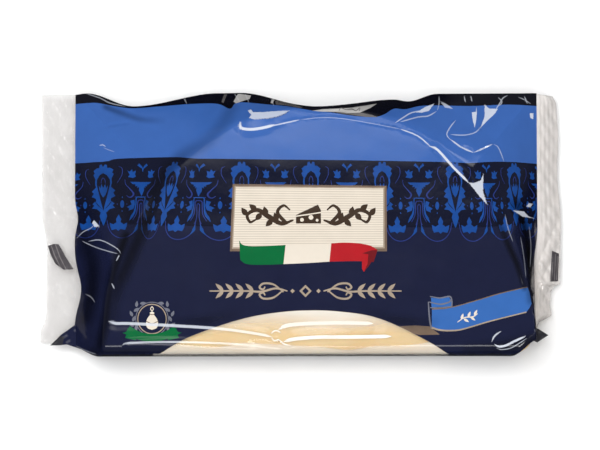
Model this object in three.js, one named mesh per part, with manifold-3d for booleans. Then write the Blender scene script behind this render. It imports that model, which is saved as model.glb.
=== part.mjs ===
// A half-round slab of provolone in its flow-wrap: the cheese, and the film that is drawn round it and
// crimped flat at both ends. Millimetres, +Z up. The pack lies on its back, printed front up. X runs from
// one end seal to the other, and Y from the slab's straight cut side to its round side. The origin is at
// the middle of the pack's footprint, on the surface that it lies on.
import * as THREE from "three";
import { mergeVertices } from "three/addons/utils/BufferGeometryUtils.js";
import Module from "manifold-3d";

// ---- Driving dimensions ----
const PACK_LENGTH = 206; // over both end seals
const PACK_WIDTH = 104.6; // straight side to the highest fold of the film
const PACK_HEIGHT = 25; // back to front
const WALL = 1.0; // film and the air under it, over the cheese
const CLEARANCE = 0.3; // between the cheese and the film
const CROWN = 0.35; // how far the front film swells over the slab's middle
const SIDE_BULGE = 0.5; // and past the folds along the two long sides
const EDGE_BEND = 0.15; // share of the slope beside the slab that its bend takes up
// Rounding of the film's long edges: how far inwards, how far down at most, and as a share of what is there.
const FRONT_CUT_EDGE = { width: 5.5, drop: 3.6, share: 0.45 };
const FRONT_FOLD_EDGE = { width: 5, drop: 4.2, share: 0.4 };
const BACK_EDGE = { width: 3, drop: 2.2, share: 0.4 };

const CHEESE_LENGTH = 165; // along the straight cut
const CHEESE_WIDTH = 94; // from the cut to the top of the round side
const CHEESE_CENTRE_X = 7.4; // the slab lies nearer the right-hand seal
const CHEESE_CORNER = 6.5; // rounding where the cut meets the round side
const CHEESE_EDGE = 4; // how far the rounding of its edges reaches inwards
const CHEESE_EDGE_DROP = 3; // and downwards

const FIN_THICKNESS = 0.8; // two films, crimped together
const FIN_RIB_HEIGHT = 0.35;
const LEFT_FIN = { root: -89.6, rise: 5.6, droop: -1.8, ribs: 6 };
const RIGHT_FIN = { root: 92.7, rise: 10.6, droop: -7.6, ribs: 5 };
const FIN_TAPER = 1.2; // how much lower the round side's end of a seal is at its outer edge
const EAR_THICKNESS = 2.2; // a corner of the film folded out flat beside a seal
const SEAM_CLIMB = { from: -60, to: 90 }; // where the long fold climbs from one seal's height to the other's

const WINDOW_APEX_Y = -35; // top of the clear arc
const WINDOW_RADIUS = 101;
const WINDOW_CENTRE_X = 1.7;
const WINDOW_HALF_ANGLE = 0.23 * Math.PI; // reaches past the straight side
const WINDOW_SILL = 4.5; // how high above the back the window's lower edge runs along the straight side

const FRONT_ROWS = 33; // points across the pack on the front
const BACK_ROWS = 13; // and on the back
const WALL_ROWS = 3; // points down each long side
const BODY_COLUMNS = 60; // points along the pack between the seals

const halfLength = PACK_LENGTH / 2;
const halfWidth = PACK_WIDTH / 2;
const cheeseCutY = -halfWidth + WALL + CLEARANCE;

// ---- Small helpers ----
const clamp01 = (t) => Math.min(1, Math.max(0, t));
const smooth = (t) => clamp01(t) ** 2 * (3 - 2 * clamp01(t));
const mix = (a, b, t) => a + (b - a) * t;

/** Runs smoothly through [x, value] pairs, level at each of them. */
function along(points, x) {
  const next = points.findIndex(([px]) => px >= x);
  if (next === 0) return points[0][1];
  if (next < 0) return points[points.length - 1][1];
  const [x0, y0] = points[next - 1];
  const [x1, y1] = points[next];
  return mix(y0, y1, smooth((x - x0) / (x1 - x0)));
}

// ---- The film's outline, seen from the front ----
// The long fold on the round side is pulled in where the film is caught, and stands proud beside it.
const TOP_FOLD = [
  [-90, 51.6],
  [-85, 52.2],
  [-67.7, 46.6],
  [-26, 52.3],
  [6, 45.6],
  [36.5, 49.2],
  [42, 48.4],
  [53.5, 51.5],
  [94, 51.6],
];
// The straight side, tight on the cut face of the cheese, is drawn in beside the right-hand seal.
const BOTTOM_FOLD = [
  [-103, -46.6],
  [-93, -47],
  [-79, -52.3],
  [84, -52.1],
  [94, -45.9],
];
// Outer edges of the seals as [y, x], drawn in where the film is pulled, and shorter at the right.
const LEFT_OUTER = [
  [-47, -halfLength],
  [-43, -102.8],
  [-36, -100.6],
  [-10, -100.4],
  [5, -102.6],
  [51.6, -halfLength],
];
const RIGHT_OUTER = [
  [-39, 94.4],
  [-35.5, 98.6],
  [-27, 98.4],
  [-23.4, 102],
  [2, halfLength],
  [20, 101.4],
  [36, 101.8],
  [48, 101.2],
  [51.6, 99.8],
];
const RIGHT_FIN_END = { root: -46, outer: -37.5 }; // its lower end, shorter than the pack
const topFold = (x) => along(TOP_FOLD, x);
const bottomFold = (x) => along(BOTTOM_FOLD, x);

/** How far the left-hand seal's root is drawn in: by a pucker, and by a nick above it. */
const leftWaist = (y) => 3 * Math.exp(-(((y + 26) / 9) ** 2)) + 1.4 * Math.exp(-(((y - 2) / 5) ** 2));

// ---- Heights ----
/** 0 over the slab, rising to 1 at the end seals and at the long fold, along rays from the slab's middle. */
function reach(x, y) {
  const dx = x - CHEESE_CENTRE_X;
  const dy = Math.max(y - cheeseCutY, 0);
  const a = CHEESE_LENGTH / 2 + WALL;
  const b = CHEESE_WIDTH + WALL;
  const toSlab = 1 / Math.max(Math.hypot(dx / a, dy / b), 1e-6);
  const toEnd = ((dx < 0 ? LEFT_FIN.root : RIGHT_FIN.root) - CHEESE_CENTRE_X) / dx;
  const toFold = (halfWidth - cheeseCutY) / Math.max(dy, 1e-6);
  const toEdge = Math.min(Math.abs(toEnd), toFold);
  return toSlab >= 1 ? 0 : clamp01((1 - toSlab) / Math.max(toEdge - toSlab, 1e-6));
}

/** The film's fall from the slab's rounded edge, 0 to 1, as straight as a tight film's after the bend. */
const slope = (r) => (Math.hypot(r, EDGE_BEND) - EDGE_BEND) / (Math.hypot(1, EDGE_BEND) - EDGE_BEND);

/** Height of the flattened film at the seals and along the long fold. */
function seamHeight(x) {
  const { from, to } = SEAM_CLIMB;
  return mix(LEFT_FIN.rise, RIGHT_FIN.rise, smooth((x - from) / (to - from)));
}

/** Main folds of the loose film: from, to, height (a valley is negative) and half-width. */
const FOLDS = [
  { from: [-31, 48], to: [-52, 24], height: -1.3, width: 4.0 },
  { from: [-86, 50], to: [-60, 36], height: -1.5, width: 4.0 },
  { from: [-87, -3], to: [-72, -12], height: 1.5, width: 3.6 },
  { from: [-87, -12], to: [-75, -22], height: -1.3, width: 3.8 },
  { from: [36, 37], to: [54, 50], height: 1.5, width: 3.6 },
  { from: [58, 36], to: [74, 26], height: 1.4, width: 3.6 },
  { from: [70, 38], to: [82, 48], height: -1.6, width: 4.0 },
  { from: [77, 5], to: [91, -2], height: 1.5, width: 3.6 },
];

/** What the main folds add at a point, each fading towards its ends. */
function folds(x, y) {
  let sum = 0;
  for (const { from, to, height, width } of FOLDS) {
    const [ax, ay] = from;
    const [bx, by] = [to[0] - ax, to[1] - ay];
    const t = clamp01(((x - ax) * bx + (y - ay) * by) / (bx * bx + by * by));
    const off = Math.hypot(x - ax - bx * t, y - ay - by * t);
    sum += height * Math.exp(-((off / width) ** 2)) * (0.45 + 0.55 * Math.sin(Math.PI * t));
  }
  return sum;
}

/** How far a rounded edge has dropped at a distance inside it, with so much height beside it. */
function edgeDrop(inside, edge, room) {
  const t = clamp01(1 - inside / edge.width);
  const drop = Math.min(edge.drop, edge.share * Math.max(room, 0));
  return drop * (1 - Math.sqrt(1 - t * t));
}

/** Height of the front film. */
function frontHeight(x, y) {
  const r = reach(x, y);
  const seam = seamHeight(x) + FIN_THICKNESS / 2;
  const taut = mix(PACK_HEIGHT - CROWN, seam, slope(r));
  const crown = CROWN * Math.cos((Math.PI * (x - CHEESE_CENTRE_X)) / (2 * CHEESE_LENGTH)) ** 2 * (1 - r);
  const relief = folds(x, y) * smooth(r * 4) * smooth((1 - r) * 6);
  const height = taut + crown + relief;
  const cutEdge = edgeDrop(y - bottomFold(x), FRONT_CUT_EDGE, height - seam);
  const foldEdge = edgeDrop(topFold(x) - y, FRONT_FOLD_EDGE, height - seam);
  return Math.max(height - cutEdge - foldEdge, seam);
}

/** Height of the back film, flat where it lies on the table. */
function backHeight(x, y) {
  const r = reach(x, y);
  const seam = seamHeight(x) - FIN_THICKNESS / 2;
  const lifted = seam * r ** 1.6;
  const cutEdge = edgeDrop(y - bottomFold(x), BACK_EDGE, seam - lifted);
  const foldEdge = edgeDrop(topFold(x) - y, BACK_EDGE, seam - lifted);
  return Math.min(lifted + cutEdge + foldEdge, seam);
}

// ---- The film, as a tube of cross sections ----
/** A closed ring from functions that place a point across the front, down a side, and across the back. */
function ring(front, topSide, back, bottomSide) {
  const across = (rows) => Array.from({ length: rows }, (_, j) => j / (rows - 1));
  const down = Array.from({ length: WALL_ROWS }, (_, j) => (j + 1) / (WALL_ROWS + 1));
  return [
    ...across(FRONT_ROWS).map(front),
    ...down.map(topSide),
    ...across(BACK_ROWS).reverse().map(back),
    ...down.map(bottomSide),
  ];
}

/** One cross section of a seal, at share w of the way from its root to its outer edge. */
function finSection(fin, w, rib) {
  const left = fin === LEFT_FIN;
  const low = left ? bottomFold(-halfLength) : mix(RIGHT_FIN_END.root, RIGHT_FIN_END.outer, w);
  const high = topFold(fin.root) - FIN_TAPER * w;
  const height = fin.rise + fin.droop * w ** 1.5 + rib * FIN_RIB_HEIGHT;
  const place = (v, side) => {
    const y = mix(low, high, v);
    const root = fin.root + (left ? leftWaist(y) : 0);
    const outer = along(left ? LEFT_OUTER : RIGHT_OUTER, y);
    return [mix(root, outer, w), y, height + (side * FIN_THICKNESS) / 2];
  };
  return ring(
    (v) => place(v, 1),
    (t) => place(1, 1 - 2 * t),
    (v) => place(v, -1),
    (t) => place(0, 2 * t - 1),
  );
}

/** One cross section between the seals, at share u of the way along. */
function bodySection(u) {
  const xAt = (y) => mix(LEFT_FIN.root + leftWaist(y), RIGHT_FIN.root, u);
  const bulge = SIDE_BULGE * smooth(12 * Math.min(u, 1 - u));
  const low = bottomFold(xAt(0)) + bulge;
  const high = topFold(xAt(0)) - bulge;
  const yAt = (v) => mix(low, high, v - Math.sin(2 * Math.PI * v) / (2.6 * Math.PI)); // closer at the sides
  const at = (y, height) => [xAt(y), y, height(xAt(y), y)];
  const side = (y, out, t, down) => {
    const height = mix(frontHeight(xAt(y), y), backHeight(xAt(y), y), down);
    return [xAt(y), y + out * bulge * Math.sin(Math.PI * t), height];
  };
  return ring(
    (v) => at(yAt(v), frontHeight),
    (t) => side(high, 1, t, t),
    (v) => at(yAt(v), backHeight),
    (t) => side(low, -1, t, 1 - t),
  );
}

/** Joins a run of equal closed rings into one surface, from the first to the last. */
function sleeve(rings) {
  const around = rings[0].length;
  const index = [];
  for (let i = 0; i + 1 < rings.length; i++) {
    for (let j = 0; j < around; j++) {
      const [a, b] = [i * around + j, i * around + ((j + 1) % around)];
      index.push(a, a + around, b + around, a, b + around, b);
    }
  }
  return index;
}

/** Triangles that close one end of the film: a zip from front to back, and a fan at each long side. */
function endCap() {
  const total = FRONT_ROWS + BACK_ROWS + 2 * WALL_ROWS;
  const back = (k) => total - WALL_ROWS - 1 - k;
  const cap = [];
  let [j, k] = [0, 0];
  while (j < FRONT_ROWS - 1 || k < BACK_ROWS - 1) {
    const frontNext = k === BACK_ROWS - 1 || (j + 1) * (BACK_ROWS - 1) <= (k + 1) * (FRONT_ROWS - 1);
    if (frontNext && j < FRONT_ROWS - 1) cap.push([j, ++j, back(k)]);
    else cap.push([j, back(k + 1), back(k++)]);
  }
  for (let n = FRONT_ROWS; n < FRONT_ROWS + WALL_ROWS; n++) cap.push([FRONT_ROWS - 1, n, n + 1]);
  for (let n = total - WALL_ROWS; n < total; n++) cap.push([back(0), n, (n + 1) % total]);
  return cap;
}

/** A closed geometry from points and triangles. */
function closedGeometry(points, index) {
  const geometry = new THREE.BufferGeometry();
  geometry.setAttribute("position", new THREE.Float32BufferAttribute(points.flat(), 3));
  geometry.setIndex(index);
  return geometry;
}

/** Joins a run of film sections into one closed shape. */
function loft(sections) {
  const last = (sections.length - 1) * sections[0].length;
  const index = sleeve(sections);
  for (const [a, b, c] of endCap()) index.push(a, b, c, last + a, last + c, last + b);
  return closedGeometry(sections.flat(), index);
}

/** The whole film as one closed shape: left seal, body, right seal. */
function filmShape() {
  const fin = (side) => {
    const count = side.ribs * 2 + 1;
    return Array.from({ length: count }, (_, k) => finSection(side, (k + 1) / count, k % 2 ? 1 : -1));
  };
  const body = Array.from({ length: BODY_COLUMNS }, (_, i) => {
    const u = i / (BODY_COLUMNS - 1);
    return bodySection(u - Math.sin(2 * Math.PI * u) / (3 * Math.PI));
  });
  return loft([...fin(LEFT_FIN).reverse(), ...body, ...fin(RIGHT_FIN)]);
}

/** A corner of the film that is folded out flat beside a seal: its three corners, and its height. */
function ear(corners, height) {
  const shape = new THREE.Shape(corners.map(([x, y]) => new THREE.Vector2(x, y)));
  const plate = new THREE.ExtrudeGeometry(shape, { depth: EAR_THICKNESS, bevelEnabled: false });
  return plate.translate(0, 0, height - EAR_THICKNESS / 2);
}

// ---- The cheese ----
/** Half-oval outline, counter-clockwise, drawn in by a margin, with its two corners rounded. */
function cheeseOutline(margin) {
  const a = CHEESE_LENGTH / 2 - margin;
  const corner = CHEESE_CORNER - margin;
  const springY = cheeseCutY + CHEESE_CORNER;
  const arc = (centreX, rx, ry, from, to, steps) =>
    Array.from({ length: steps + 1 }, (_, k) => {
      const angle = Math.PI * mix(from, to, k / steps);
      return [centreX + rx * Math.cos(angle), springY + ry * Math.sin(angle)];
    });
  const round = arc(CHEESE_CENTRE_X, a, CHEESE_WIDTH - CHEESE_CORNER - margin, 0, 1, 52);
  const leftCorner = arc(CHEESE_CENTRE_X - a + corner, corner, corner, 1, 1.5, 4);
  const rightCorner = arc(CHEESE_CENTRE_X + a - corner, corner, corner, 1.5, 2, 4);
  return [...round, ...leftCorner.slice(1), ...rightCorner.slice(0, -1)];
}

/** The slab, grown by a margin on every side: level rings that round its top and bottom edges. */
function cheeseShape(grow) {
  const [low, high] = [WALL + CLEARANCE - grow, PACK_HEIGHT - WALL - CLEARANCE + grow];
  const levels = [0, 0.25, 0.6, 1];
  const level = (t, height) => {
    const drawnIn = CHEESE_EDGE * (1 - Math.sqrt(1 - (1 - t) ** 2)) - grow;
    return cheeseOutline(drawnIn).map(([x, y]) => [x, y, height]);
  };
  const rings = [
    ...levels.map((t) => level(t, high - CHEESE_EDGE_DROP * t)),
    ...[...levels].reverse().map((t) => level(t, low + CHEESE_EDGE_DROP * t)),
  ];
  const around = rings[0].length;
  const points = rings.flat();
  const [top, bottom] = [points.length, points.length + 1];
  const lowestRing = points.length - around;
  const middleY = cheeseCutY + CHEESE_WIDTH / 2;
  points.push([CHEESE_CENTRE_X, middleY, high], [CHEESE_CENTRE_X, middleY, low]);
  const index = sleeve(rings);
  for (let j = 0; j < around; j++) {
    const next = (j + 1) % around;
    index.push(top, j, next, bottom, lowestRing + next, lowestRing + j);
  }
  return closedGeometry(points, index);
}

/** What the clear window takes out of the printed film: a segment of a disc, down to the sill. */
function windowShape() {
  const disc = new THREE.Shape();
  const [from, to] = [Math.PI / 2 - WINDOW_HALF_ANGLE, Math.PI / 2 + WINDOW_HALF_ANGLE];
  disc.absarc(WINDOW_CENTRE_X, WINDOW_APEX_Y - WINDOW_RADIUS, WINDOW_RADIUS, from, to, false);
  const options = { depth: PACK_HEIGHT, bevelEnabled: false, curveSegments: 48 };
  const cutter = new THREE.ExtrudeGeometry(disc, options);
  return cutter.translate(0, 0, WINDOW_SILL);
}

// ---- Cutting and joining ----
const wasm = await Module();
wasm.setup();

/** A closed geometry as a manifold-3d solid. */
function toSolid(geometry) {
  const bare = new THREE.BufferGeometry().setAttribute("position", geometry.getAttribute("position"));
  if (geometry.index) bare.setIndex(geometry.index);
  const merged = mergeVertices(bare, 1e-4);
  return new wasm.Manifold(
    new wasm.Mesh({
      numProp: 3,
      vertProperties: merged.attributes.position.array,
      triVerts: new Uint32Array(merged.index.array),
    }),
  );
}

/** A manifold-3d solid as a three.js geometry. */
function toGeometry(solid) {
  const { vertProperties, triVerts } = solid.getMesh();
  const geometry = new THREE.BufferGeometry();
  geometry.setAttribute("position", new THREE.BufferAttribute(new Float32Array(vertProperties), 3));
  geometry.setIndex(new THREE.BufferAttribute(new Uint32Array(triVerts), 1));
  geometry.computeVertexNormals();
  return geometry;
}

const LEFT_EAR = [[-99.2, -47.6], [-92.8, -47.8], [-85.5, -50], [-87.5, -38.1], [-95, -43.6]];
const RIGHT_EAR = [[97.5, -43.6], [89.4, -38.9], [88.6, -47.4], [93.2, -46.6]];
const leftEar = ear(LEFT_EAR, LEFT_FIN.rise);
const rightEar = ear(RIGHT_EAR, RIGHT_FIN.rise - 0.6);

const film = toSolid(filmShape())
  .add(toSolid(leftEar))
  .add(toSolid(rightEar))
  .subtract(toSolid(cheeseShape(CLEARANCE)))
  .subtract(toSolid(windowShape()));

// ---- The scene graph ----
const navyFilm = new THREE.MeshStandardMaterial({ color: 0x20264a, roughness: 0.22, metalness: 0 });
const paleCheese = new THREE.MeshStandardMaterial({ color: 0xf3dcae, roughness: 0.5, metalness: 0 });

const pack = new THREE.Group();

const wrapper = new THREE.Mesh(toGeometry(film), navyFilm);
wrapper.name = "film_wrapper";
pack.add(wrapper);

const cheese = new THREE.Mesh(cheeseShape(0), paleCheese);
cheese.name = "cheese";
pack.add(cheese);

export default pack;
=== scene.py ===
"""A half-round slab of provolone in its glossy printed flow-wrap, lying on a white table.

The film is one flat web that is wrapped round the slab. Its print is laid out as flat regions, which
are cut into the web's own mesh, so that every colour has a crisp edge and follows the film's folds.
Forms are in millimetres in the pack's frame, meshes in metres. What is printed or creased at a seen
place is given in the camera's picture, 600 wide and 450 high with y down, and is laid on the film.
"""

import logging
import math
from dataclasses import dataclass, field
from enum import Enum

import bpy
import numpy as np
from bpy.types import Material, Mesh, Node, NodeSocket, NodeTree, Object
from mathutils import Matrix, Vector
from mathutils.geometry import delaunay_2d_cdt

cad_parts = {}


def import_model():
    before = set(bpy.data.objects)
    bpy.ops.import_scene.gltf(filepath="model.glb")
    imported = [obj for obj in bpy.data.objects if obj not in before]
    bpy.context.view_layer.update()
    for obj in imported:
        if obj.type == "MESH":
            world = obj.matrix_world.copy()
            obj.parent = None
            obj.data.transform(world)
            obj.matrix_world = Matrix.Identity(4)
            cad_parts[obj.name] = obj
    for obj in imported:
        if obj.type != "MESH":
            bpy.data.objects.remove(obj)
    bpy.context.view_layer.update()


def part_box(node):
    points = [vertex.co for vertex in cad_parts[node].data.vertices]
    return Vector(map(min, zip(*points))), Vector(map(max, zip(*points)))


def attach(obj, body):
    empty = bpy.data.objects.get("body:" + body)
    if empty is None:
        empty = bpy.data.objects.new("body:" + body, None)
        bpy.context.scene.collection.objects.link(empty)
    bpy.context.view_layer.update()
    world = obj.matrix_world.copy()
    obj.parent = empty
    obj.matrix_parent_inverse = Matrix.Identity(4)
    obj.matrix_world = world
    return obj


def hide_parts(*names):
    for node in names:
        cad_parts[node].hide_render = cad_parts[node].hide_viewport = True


MM = 0.001
VIEW = (600, 450)
SIGHT_ROUNDS = 14
FLOOR_SIZE = 6000.0
PAPER_WHITE = 0.8
NOISE_SPAN = (0.3, 0.7)
FILM_INDEX = 1.5
GLOSS_SPAN = (0.8, 1.3)
HAZE_SPAN = (0.85, 1.15)
GRAZING_POWER = 5.0
# painted shade: how far the print is darkened towards black in the folds
PAINTED_SHADE = "print_depth"
# painted highlight: how far the print is paled along creases and in dents
PAINTED_HIGHLIGHT = "crease_wear"
LEFT_SHOULDER = (
    (222, 125), (205, 143), (180, 158), (160, 180), (150, 205), (140, 235), (128, 262), (116, 290),
    (110, 318),
)
log = logging.getLogger("cheese_pack")
Points = np.ndarray


# ---- Curves and flat shapes ----


def smooth(t: Points) -> Points:
    """Smoothstep, held at 0 below 0 and at 1 above 1."""
    t = np.clip(t, 0.0, 1.0)
    return t * t * (3.0 - 2.0 * t)


def mix(a: Points, b: Points, t: Points) -> Points:
    """The value at share t of the way from a to b."""
    return a + (b - a) * t


def along(stations: tuple, x: Points) -> Points:
    """Runs smoothly through (x, value) stations, level at each of them.

    Args:
        stations: pairs in rising order of x.
        x: where the values are wanted.

    Returns:
        The value at each x, held beyond both ends.
    """
    xs, values = np.array(stations, float).T
    x = np.clip(x, xs[0], xs[-1])
    k = np.clip(np.searchsorted(xs, x) - 1, 0, len(xs) - 2)
    return mix(values[k], values[k + 1], smooth((x - xs[k]) / (xs[k + 1] - xs[k])))


def to_segment(x: Points, y: Points, a: tuple, b: tuple) -> tuple:
    """Where points lie beside a segment.

    Args:
        x: the points' x.
        y: the points' y.
        a: the segment's start.
        b: its end.

    Returns:
        The share of the way along of the nearest point on it, and the distance to that point.
    """
    dx, dy = b[0] - a[0], b[1] - a[1]
    t = np.clip(((x - a[0]) * dx + (y - a[1]) * dy) / (dx * dx + dy * dy), 0.0, 1.0)
    return t, np.hypot(x - a[0] - dx * t, y - a[1] - dy * t)


def beside(path: Points, x: Points, y: Points) -> tuple:
    """Where points lie beside a line of several legs.

    Args:
        path: the line's points.
        x: the points' x.
        y: the points' y.

    Returns:
        The share of the way along of the nearest place on it, and the distance, positive to its left.
    """
    legs = np.linalg.norm(np.diff(path, axis=0), axis=1)
    gone = np.concatenate(((0.0,), np.cumsum(legs)))
    best, share, side = np.full(len(x), np.inf), np.zeros(len(x)), np.ones(len(x))
    for a, b, start, leg in zip(path, path[1:], gone, legs):
        t, off = to_segment(x, y, a, b)
        closer = off < best
        turn = (b[0] - a[0]) * (y - a[1]) - (b[1] - a[1]) * (x - a[0])
        best = np.where(closer, off, best)
        share = np.where(closer, (start + t * leg) / gone[-1], share)
        side = np.where(closer, np.where(turn < 0.0, -1.0, 1.0), side)
    return share, best * side


def headings(path: Points) -> tuple:
    """The unit vectors ahead and to the left at each point of a line."""
    ahead = np.gradient(path, axis=0)
    ahead /= np.maximum(np.linalg.norm(ahead, axis=1), 1e-9)[:, None]
    return ahead, np.column_stack((-ahead[:, 1], ahead[:, 0]))


def curve(path: tuple, steps: int = 5) -> Points:
    """A smooth line through all the points of a path (Catmull-Rom), with some steps to each leg."""
    p = np.array(path, float)
    p = np.vstack((2 * p[0] - p[1], p, 2 * p[-1] - p[-2]))
    t = np.linspace(0.0, 1.0, steps, endpoint=False)[:, None]
    legs = []
    for a, b, c, d in zip(p, p[1:], p[2:], p[3:]):
        bend = 2 * a - 5 * b + 4 * c - d
        legs.append(b + 0.5 * t * (c - a + t * (bend + t * (3 * (b - c) + d - a))))
    return np.vstack((*legs, p[-2:-1]))


def stroke(path: Points, widths: tuple) -> Points:
    """A pen line's outline.

    Args:
        path: the points that the line follows.
        widths: its half widths, spread evenly from end to end.

    Returns:
        The closed outline.
    """
    path = np.asarray(path, float)
    _, across = headings(path)
    place = np.linspace(0.0, 1.0, len(path))
    half = np.interp(place, np.linspace(0.0, 1.0, len(widths)), widths)[:, None]
    return np.vstack((path + across * half, (path - across * half)[::-1]))


def mirrored(half: tuple) -> Points:
    """A shape that is closed by its mirror image in u = 0."""
    half = np.array(half, float)
    return np.vstack((half, half[::-1] * (-1, 1)))


def oval(centre: tuple, radii: tuple, count: int = 28) -> Points:
    """An ellipse's outline."""
    turn = np.linspace(0.0, 2 * math.pi, count, endpoint=False)
    return np.column_stack((centre[0] + radii[0] * np.cos(turn), centre[1] + radii[1] * np.sin(turn)))


def leaf_shape(length: float, half: float, turn: float) -> Points:
    """A pointed leaf that starts at the origin and leans by an angle."""
    t = np.linspace(0.0, 1.0, 9)
    belly = half * np.sin(math.pi * t**0.8)
    loop = np.vstack((np.column_stack((t * length, belly)), np.column_stack((t * length, -belly))[-2:0:-1]))
    c, s = math.cos(turn), math.sin(turn)
    return loop @ np.array(((c, s), (-s, c)))


def dense(loop: Points, step: float, closed: bool = True) -> Points:
    """A line with no leg longer than a step."""
    rows = []
    ends = np.roll(loop, -1, axis=0) if closed else loop[1:]
    for a, b in zip(loop, ends):
        count = max(int(math.ceil(math.dist(a, b) / step)), 1)
        rows.append(a + (b - a) * (np.arange(count) / count)[:, None])
    return np.vstack(rows if closed else (*rows, loop[-1:]))


def clip_half(loop: Points, a: tuple, b: tuple, left: bool) -> Points:
    """The part of an outline on one side of a line down the picture.

    Args:
        loop: the closed outline.
        a: a point of the line.
        b: another, below it.
        left: which side is kept.

    Returns:
        The closed outline of that part.
    """
    (ax, ay), (bx, by) = a, b
    off = (loop[:, 0] - ax) - (bx - ax) * (loop[:, 1] - ay) / (by - ay)
    off = -off if left else off
    kept = []
    for p, q, d, e in zip(loop, np.roll(loop, -1, axis=0), off, np.roll(off, -1)):
        if d >= 0:
            kept.append(p)
        if (d >= 0) != (e >= 0):
            kept.append(p + (q - p) * d / (d - e))
    return np.array(kept)


def inside(points: Points, loop: Points) -> Points:
    """Which points lie inside a closed outline.

    Args:
        points: (n, 2) points.
        loop: (m, 2) outline.

    Returns:
        n truth values.
    """
    low, high = loop.min(axis=0), loop.max(axis=0)
    near = np.flatnonzero(np.all((points >= low) & (points <= high), axis=1))
    found = np.zeros(len(points), bool)
    if len(near):
        x, y = points[near].T
        odd = np.zeros(len(near), bool)
        for (x0, y0), (x1, y1) in zip(loop, np.roll(loop, -1, axis=0)):
            if y0 != y1:
                odd ^= ((y0 > y) != (y1 > y)) & (x < x0 + (x1 - x0) * (y - y0) / (y1 - y0))
        found[near] = odd
    return found


# ---- Meshes ----


def new_object(
    name: str, verts: Points, faces: list, materials: list, inks: Points = None, normals: Points = None
) -> Object:
    """Makes a smooth-shaded mesh object at the origin.

    Args:
        name: the piece's name.
        verts: (n, 3) places in millimetres.
        faces: corner numbers of each face.
        materials: the finishes.
        inks: which of them each face has, where there are several.
        normals: a normal for each vertex, where the exact one is known.

    Returns:
        The object.
    """
    mesh = bpy.data.meshes.new(name)
    mesh.from_pydata((np.asarray(verts, float) * MM).tolist(), [], [tuple(face) for face in faces])
    for material in materials:
        mesh.materials.append(material)
    mesh.polygons.foreach_set("use_smooth", [True] * len(mesh.polygons))
    if inks is not None:
        mesh.polygons.foreach_set("material_index", np.asarray(inks, dtype=np.int32))
    if normals is not None:
        mesh.normals_split_custom_set_from_vertices(normals.tolist())
    mesh.update()
    piece = bpy.data.objects.new(name, mesh)
    bpy.context.scene.collection.objects.link(piece)
    return piece


def grid(columns: int, rows: int, width: float, height: float) -> tuple:
    """A flat rectangle about the origin, as points and quads."""
    sides = ((width, columns), (height, rows))
    x, y = np.meshgrid(*(np.linspace(-size / 2, size / 2, count) for size, count in sides))
    verts = np.column_stack((x.ravel(), y.ravel(), np.zeros(x.size)))
    first = (np.arange(rows - 1)[:, None] * columns + np.arange(columns - 1)).ravel()
    return verts, np.column_stack((first, first + 1, first + columns + 1, first + columns)).tolist()


def triangulate(points: Points, loops: list) -> tuple:
    """Joins flat points into triangles that no outline crosses.

    Args:
        points: (n, 2) loose points.
        loops: closed outlines to cut in.

    Returns:
        (n, 2) points and (m, 3) corner numbers, turning left.
    """
    rows, edges, count = [points], [], len(points)
    for loop in loops:
        numbers = np.arange(count, count + len(loop))
        edges += zip(numbers.tolist(), np.roll(numbers, -1).tolist())
        rows.append(loop)
        count += len(loop)
    seeds = [Vector(p) for p in np.vstack(rows).tolist()]
    verts, _, faces, *_ = delaunay_2d_cdt(seeds, edges, [], 0, 1e-4, False)
    return np.array([tuple(v) for v in verts]), np.array(faces)


def patch(outline: Points, pitch: float, cuts: list = ()) -> tuple:
    """Fills an outline with triangles of about one size.

    Args:
        outline: the closed outline.
        pitch: the triangles' size.
        cuts: other outlines to cut in.

    Returns:
        (n, 2) points and (m, 3) corner numbers.
    """
    low, high = outline.min(axis=0), outline.max(axis=0)
    x, y = np.meshgrid(np.arange(low[0], high[0], pitch), np.arange(low[1], high[1], pitch))
    seeds = np.column_stack((x.ravel(), y.ravel()))
    edge = dense(outline, pitch)
    sides = zip(outline, np.roll(outline, -1, axis=0))
    off = np.min([to_segment(*seeds.T, a, b)[1] for a, b in sides], axis=0)
    verts, faces = triangulate(seeds[inside(seeds, outline) & (off > pitch / 2)], [edge, *cuts])
    return verts, faces[inside(verts[faces].mean(axis=1), outline)]


def thickened(verts: Points, faces: Points, thickness: float) -> tuple:
    """Turns a nearly level sheet into a closed plate.

    Args:
        verts: (n, 3) points of its middle.
        faces: faces that look up.
        thickness: how thick the plate is.

    Returns:
        The plate's points, and its faces: the upper ones, then the lower ones, then the rim.
    """
    lift = np.array((0.0, 0.0, thickness / 2))
    faces = [tuple(face) for face in faces]
    ahead = {(a, b) for face in faces for a, b in zip(face, face[1:] + face[:1])}
    count = len(verts)
    under = [tuple(corner + count for corner in face[::-1]) for face in faces]
    rim = [(b, a, a + count, b + count) for a, b in sorted(ahead) if (b, a) not in ahead]
    return np.vstack((verts + lift, verts - lift)), faces + under + rim


def two_tone(
    name: str, verts: Points, faces: Points, thickness: float, second: Points, inks: tuple
) -> None:
    """Makes a thin printed plate in two inks: the second is on some of its faces, above and below."""
    verts, plate = thickened(verts, faces.tolist(), thickness)
    second = second.astype(int)
    number = np.concatenate((second, second, np.zeros(len(plate) - 2 * len(faces), int)))
    ride(new_object(name, verts, plate, [ink.value.material() for ink in inks], number), "printed_film")


def ride(piece: Object, slot: str, *replaced: str) -> None:
    """Sets a finished piece on the pack's one body, hides the CAD nodes that it stands for, and logs its
    slot.
    """
    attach(piece, "root")
    if replaced:
        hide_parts(*replaced)
    log.info("%s: %d faces, slot %s", piece.name, len(piece.data.polygons), slot)


# ---- Finishes ----


def linear(colour: tuple) -> tuple:
    """A colour of 0 to 255 as the eye sees it, turned into linear light."""
    return tuple(c / 3294.6 if c < 10.3 else ((c / 255 + 0.055) / 1.055) ** 2.4 for c in colour)


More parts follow.
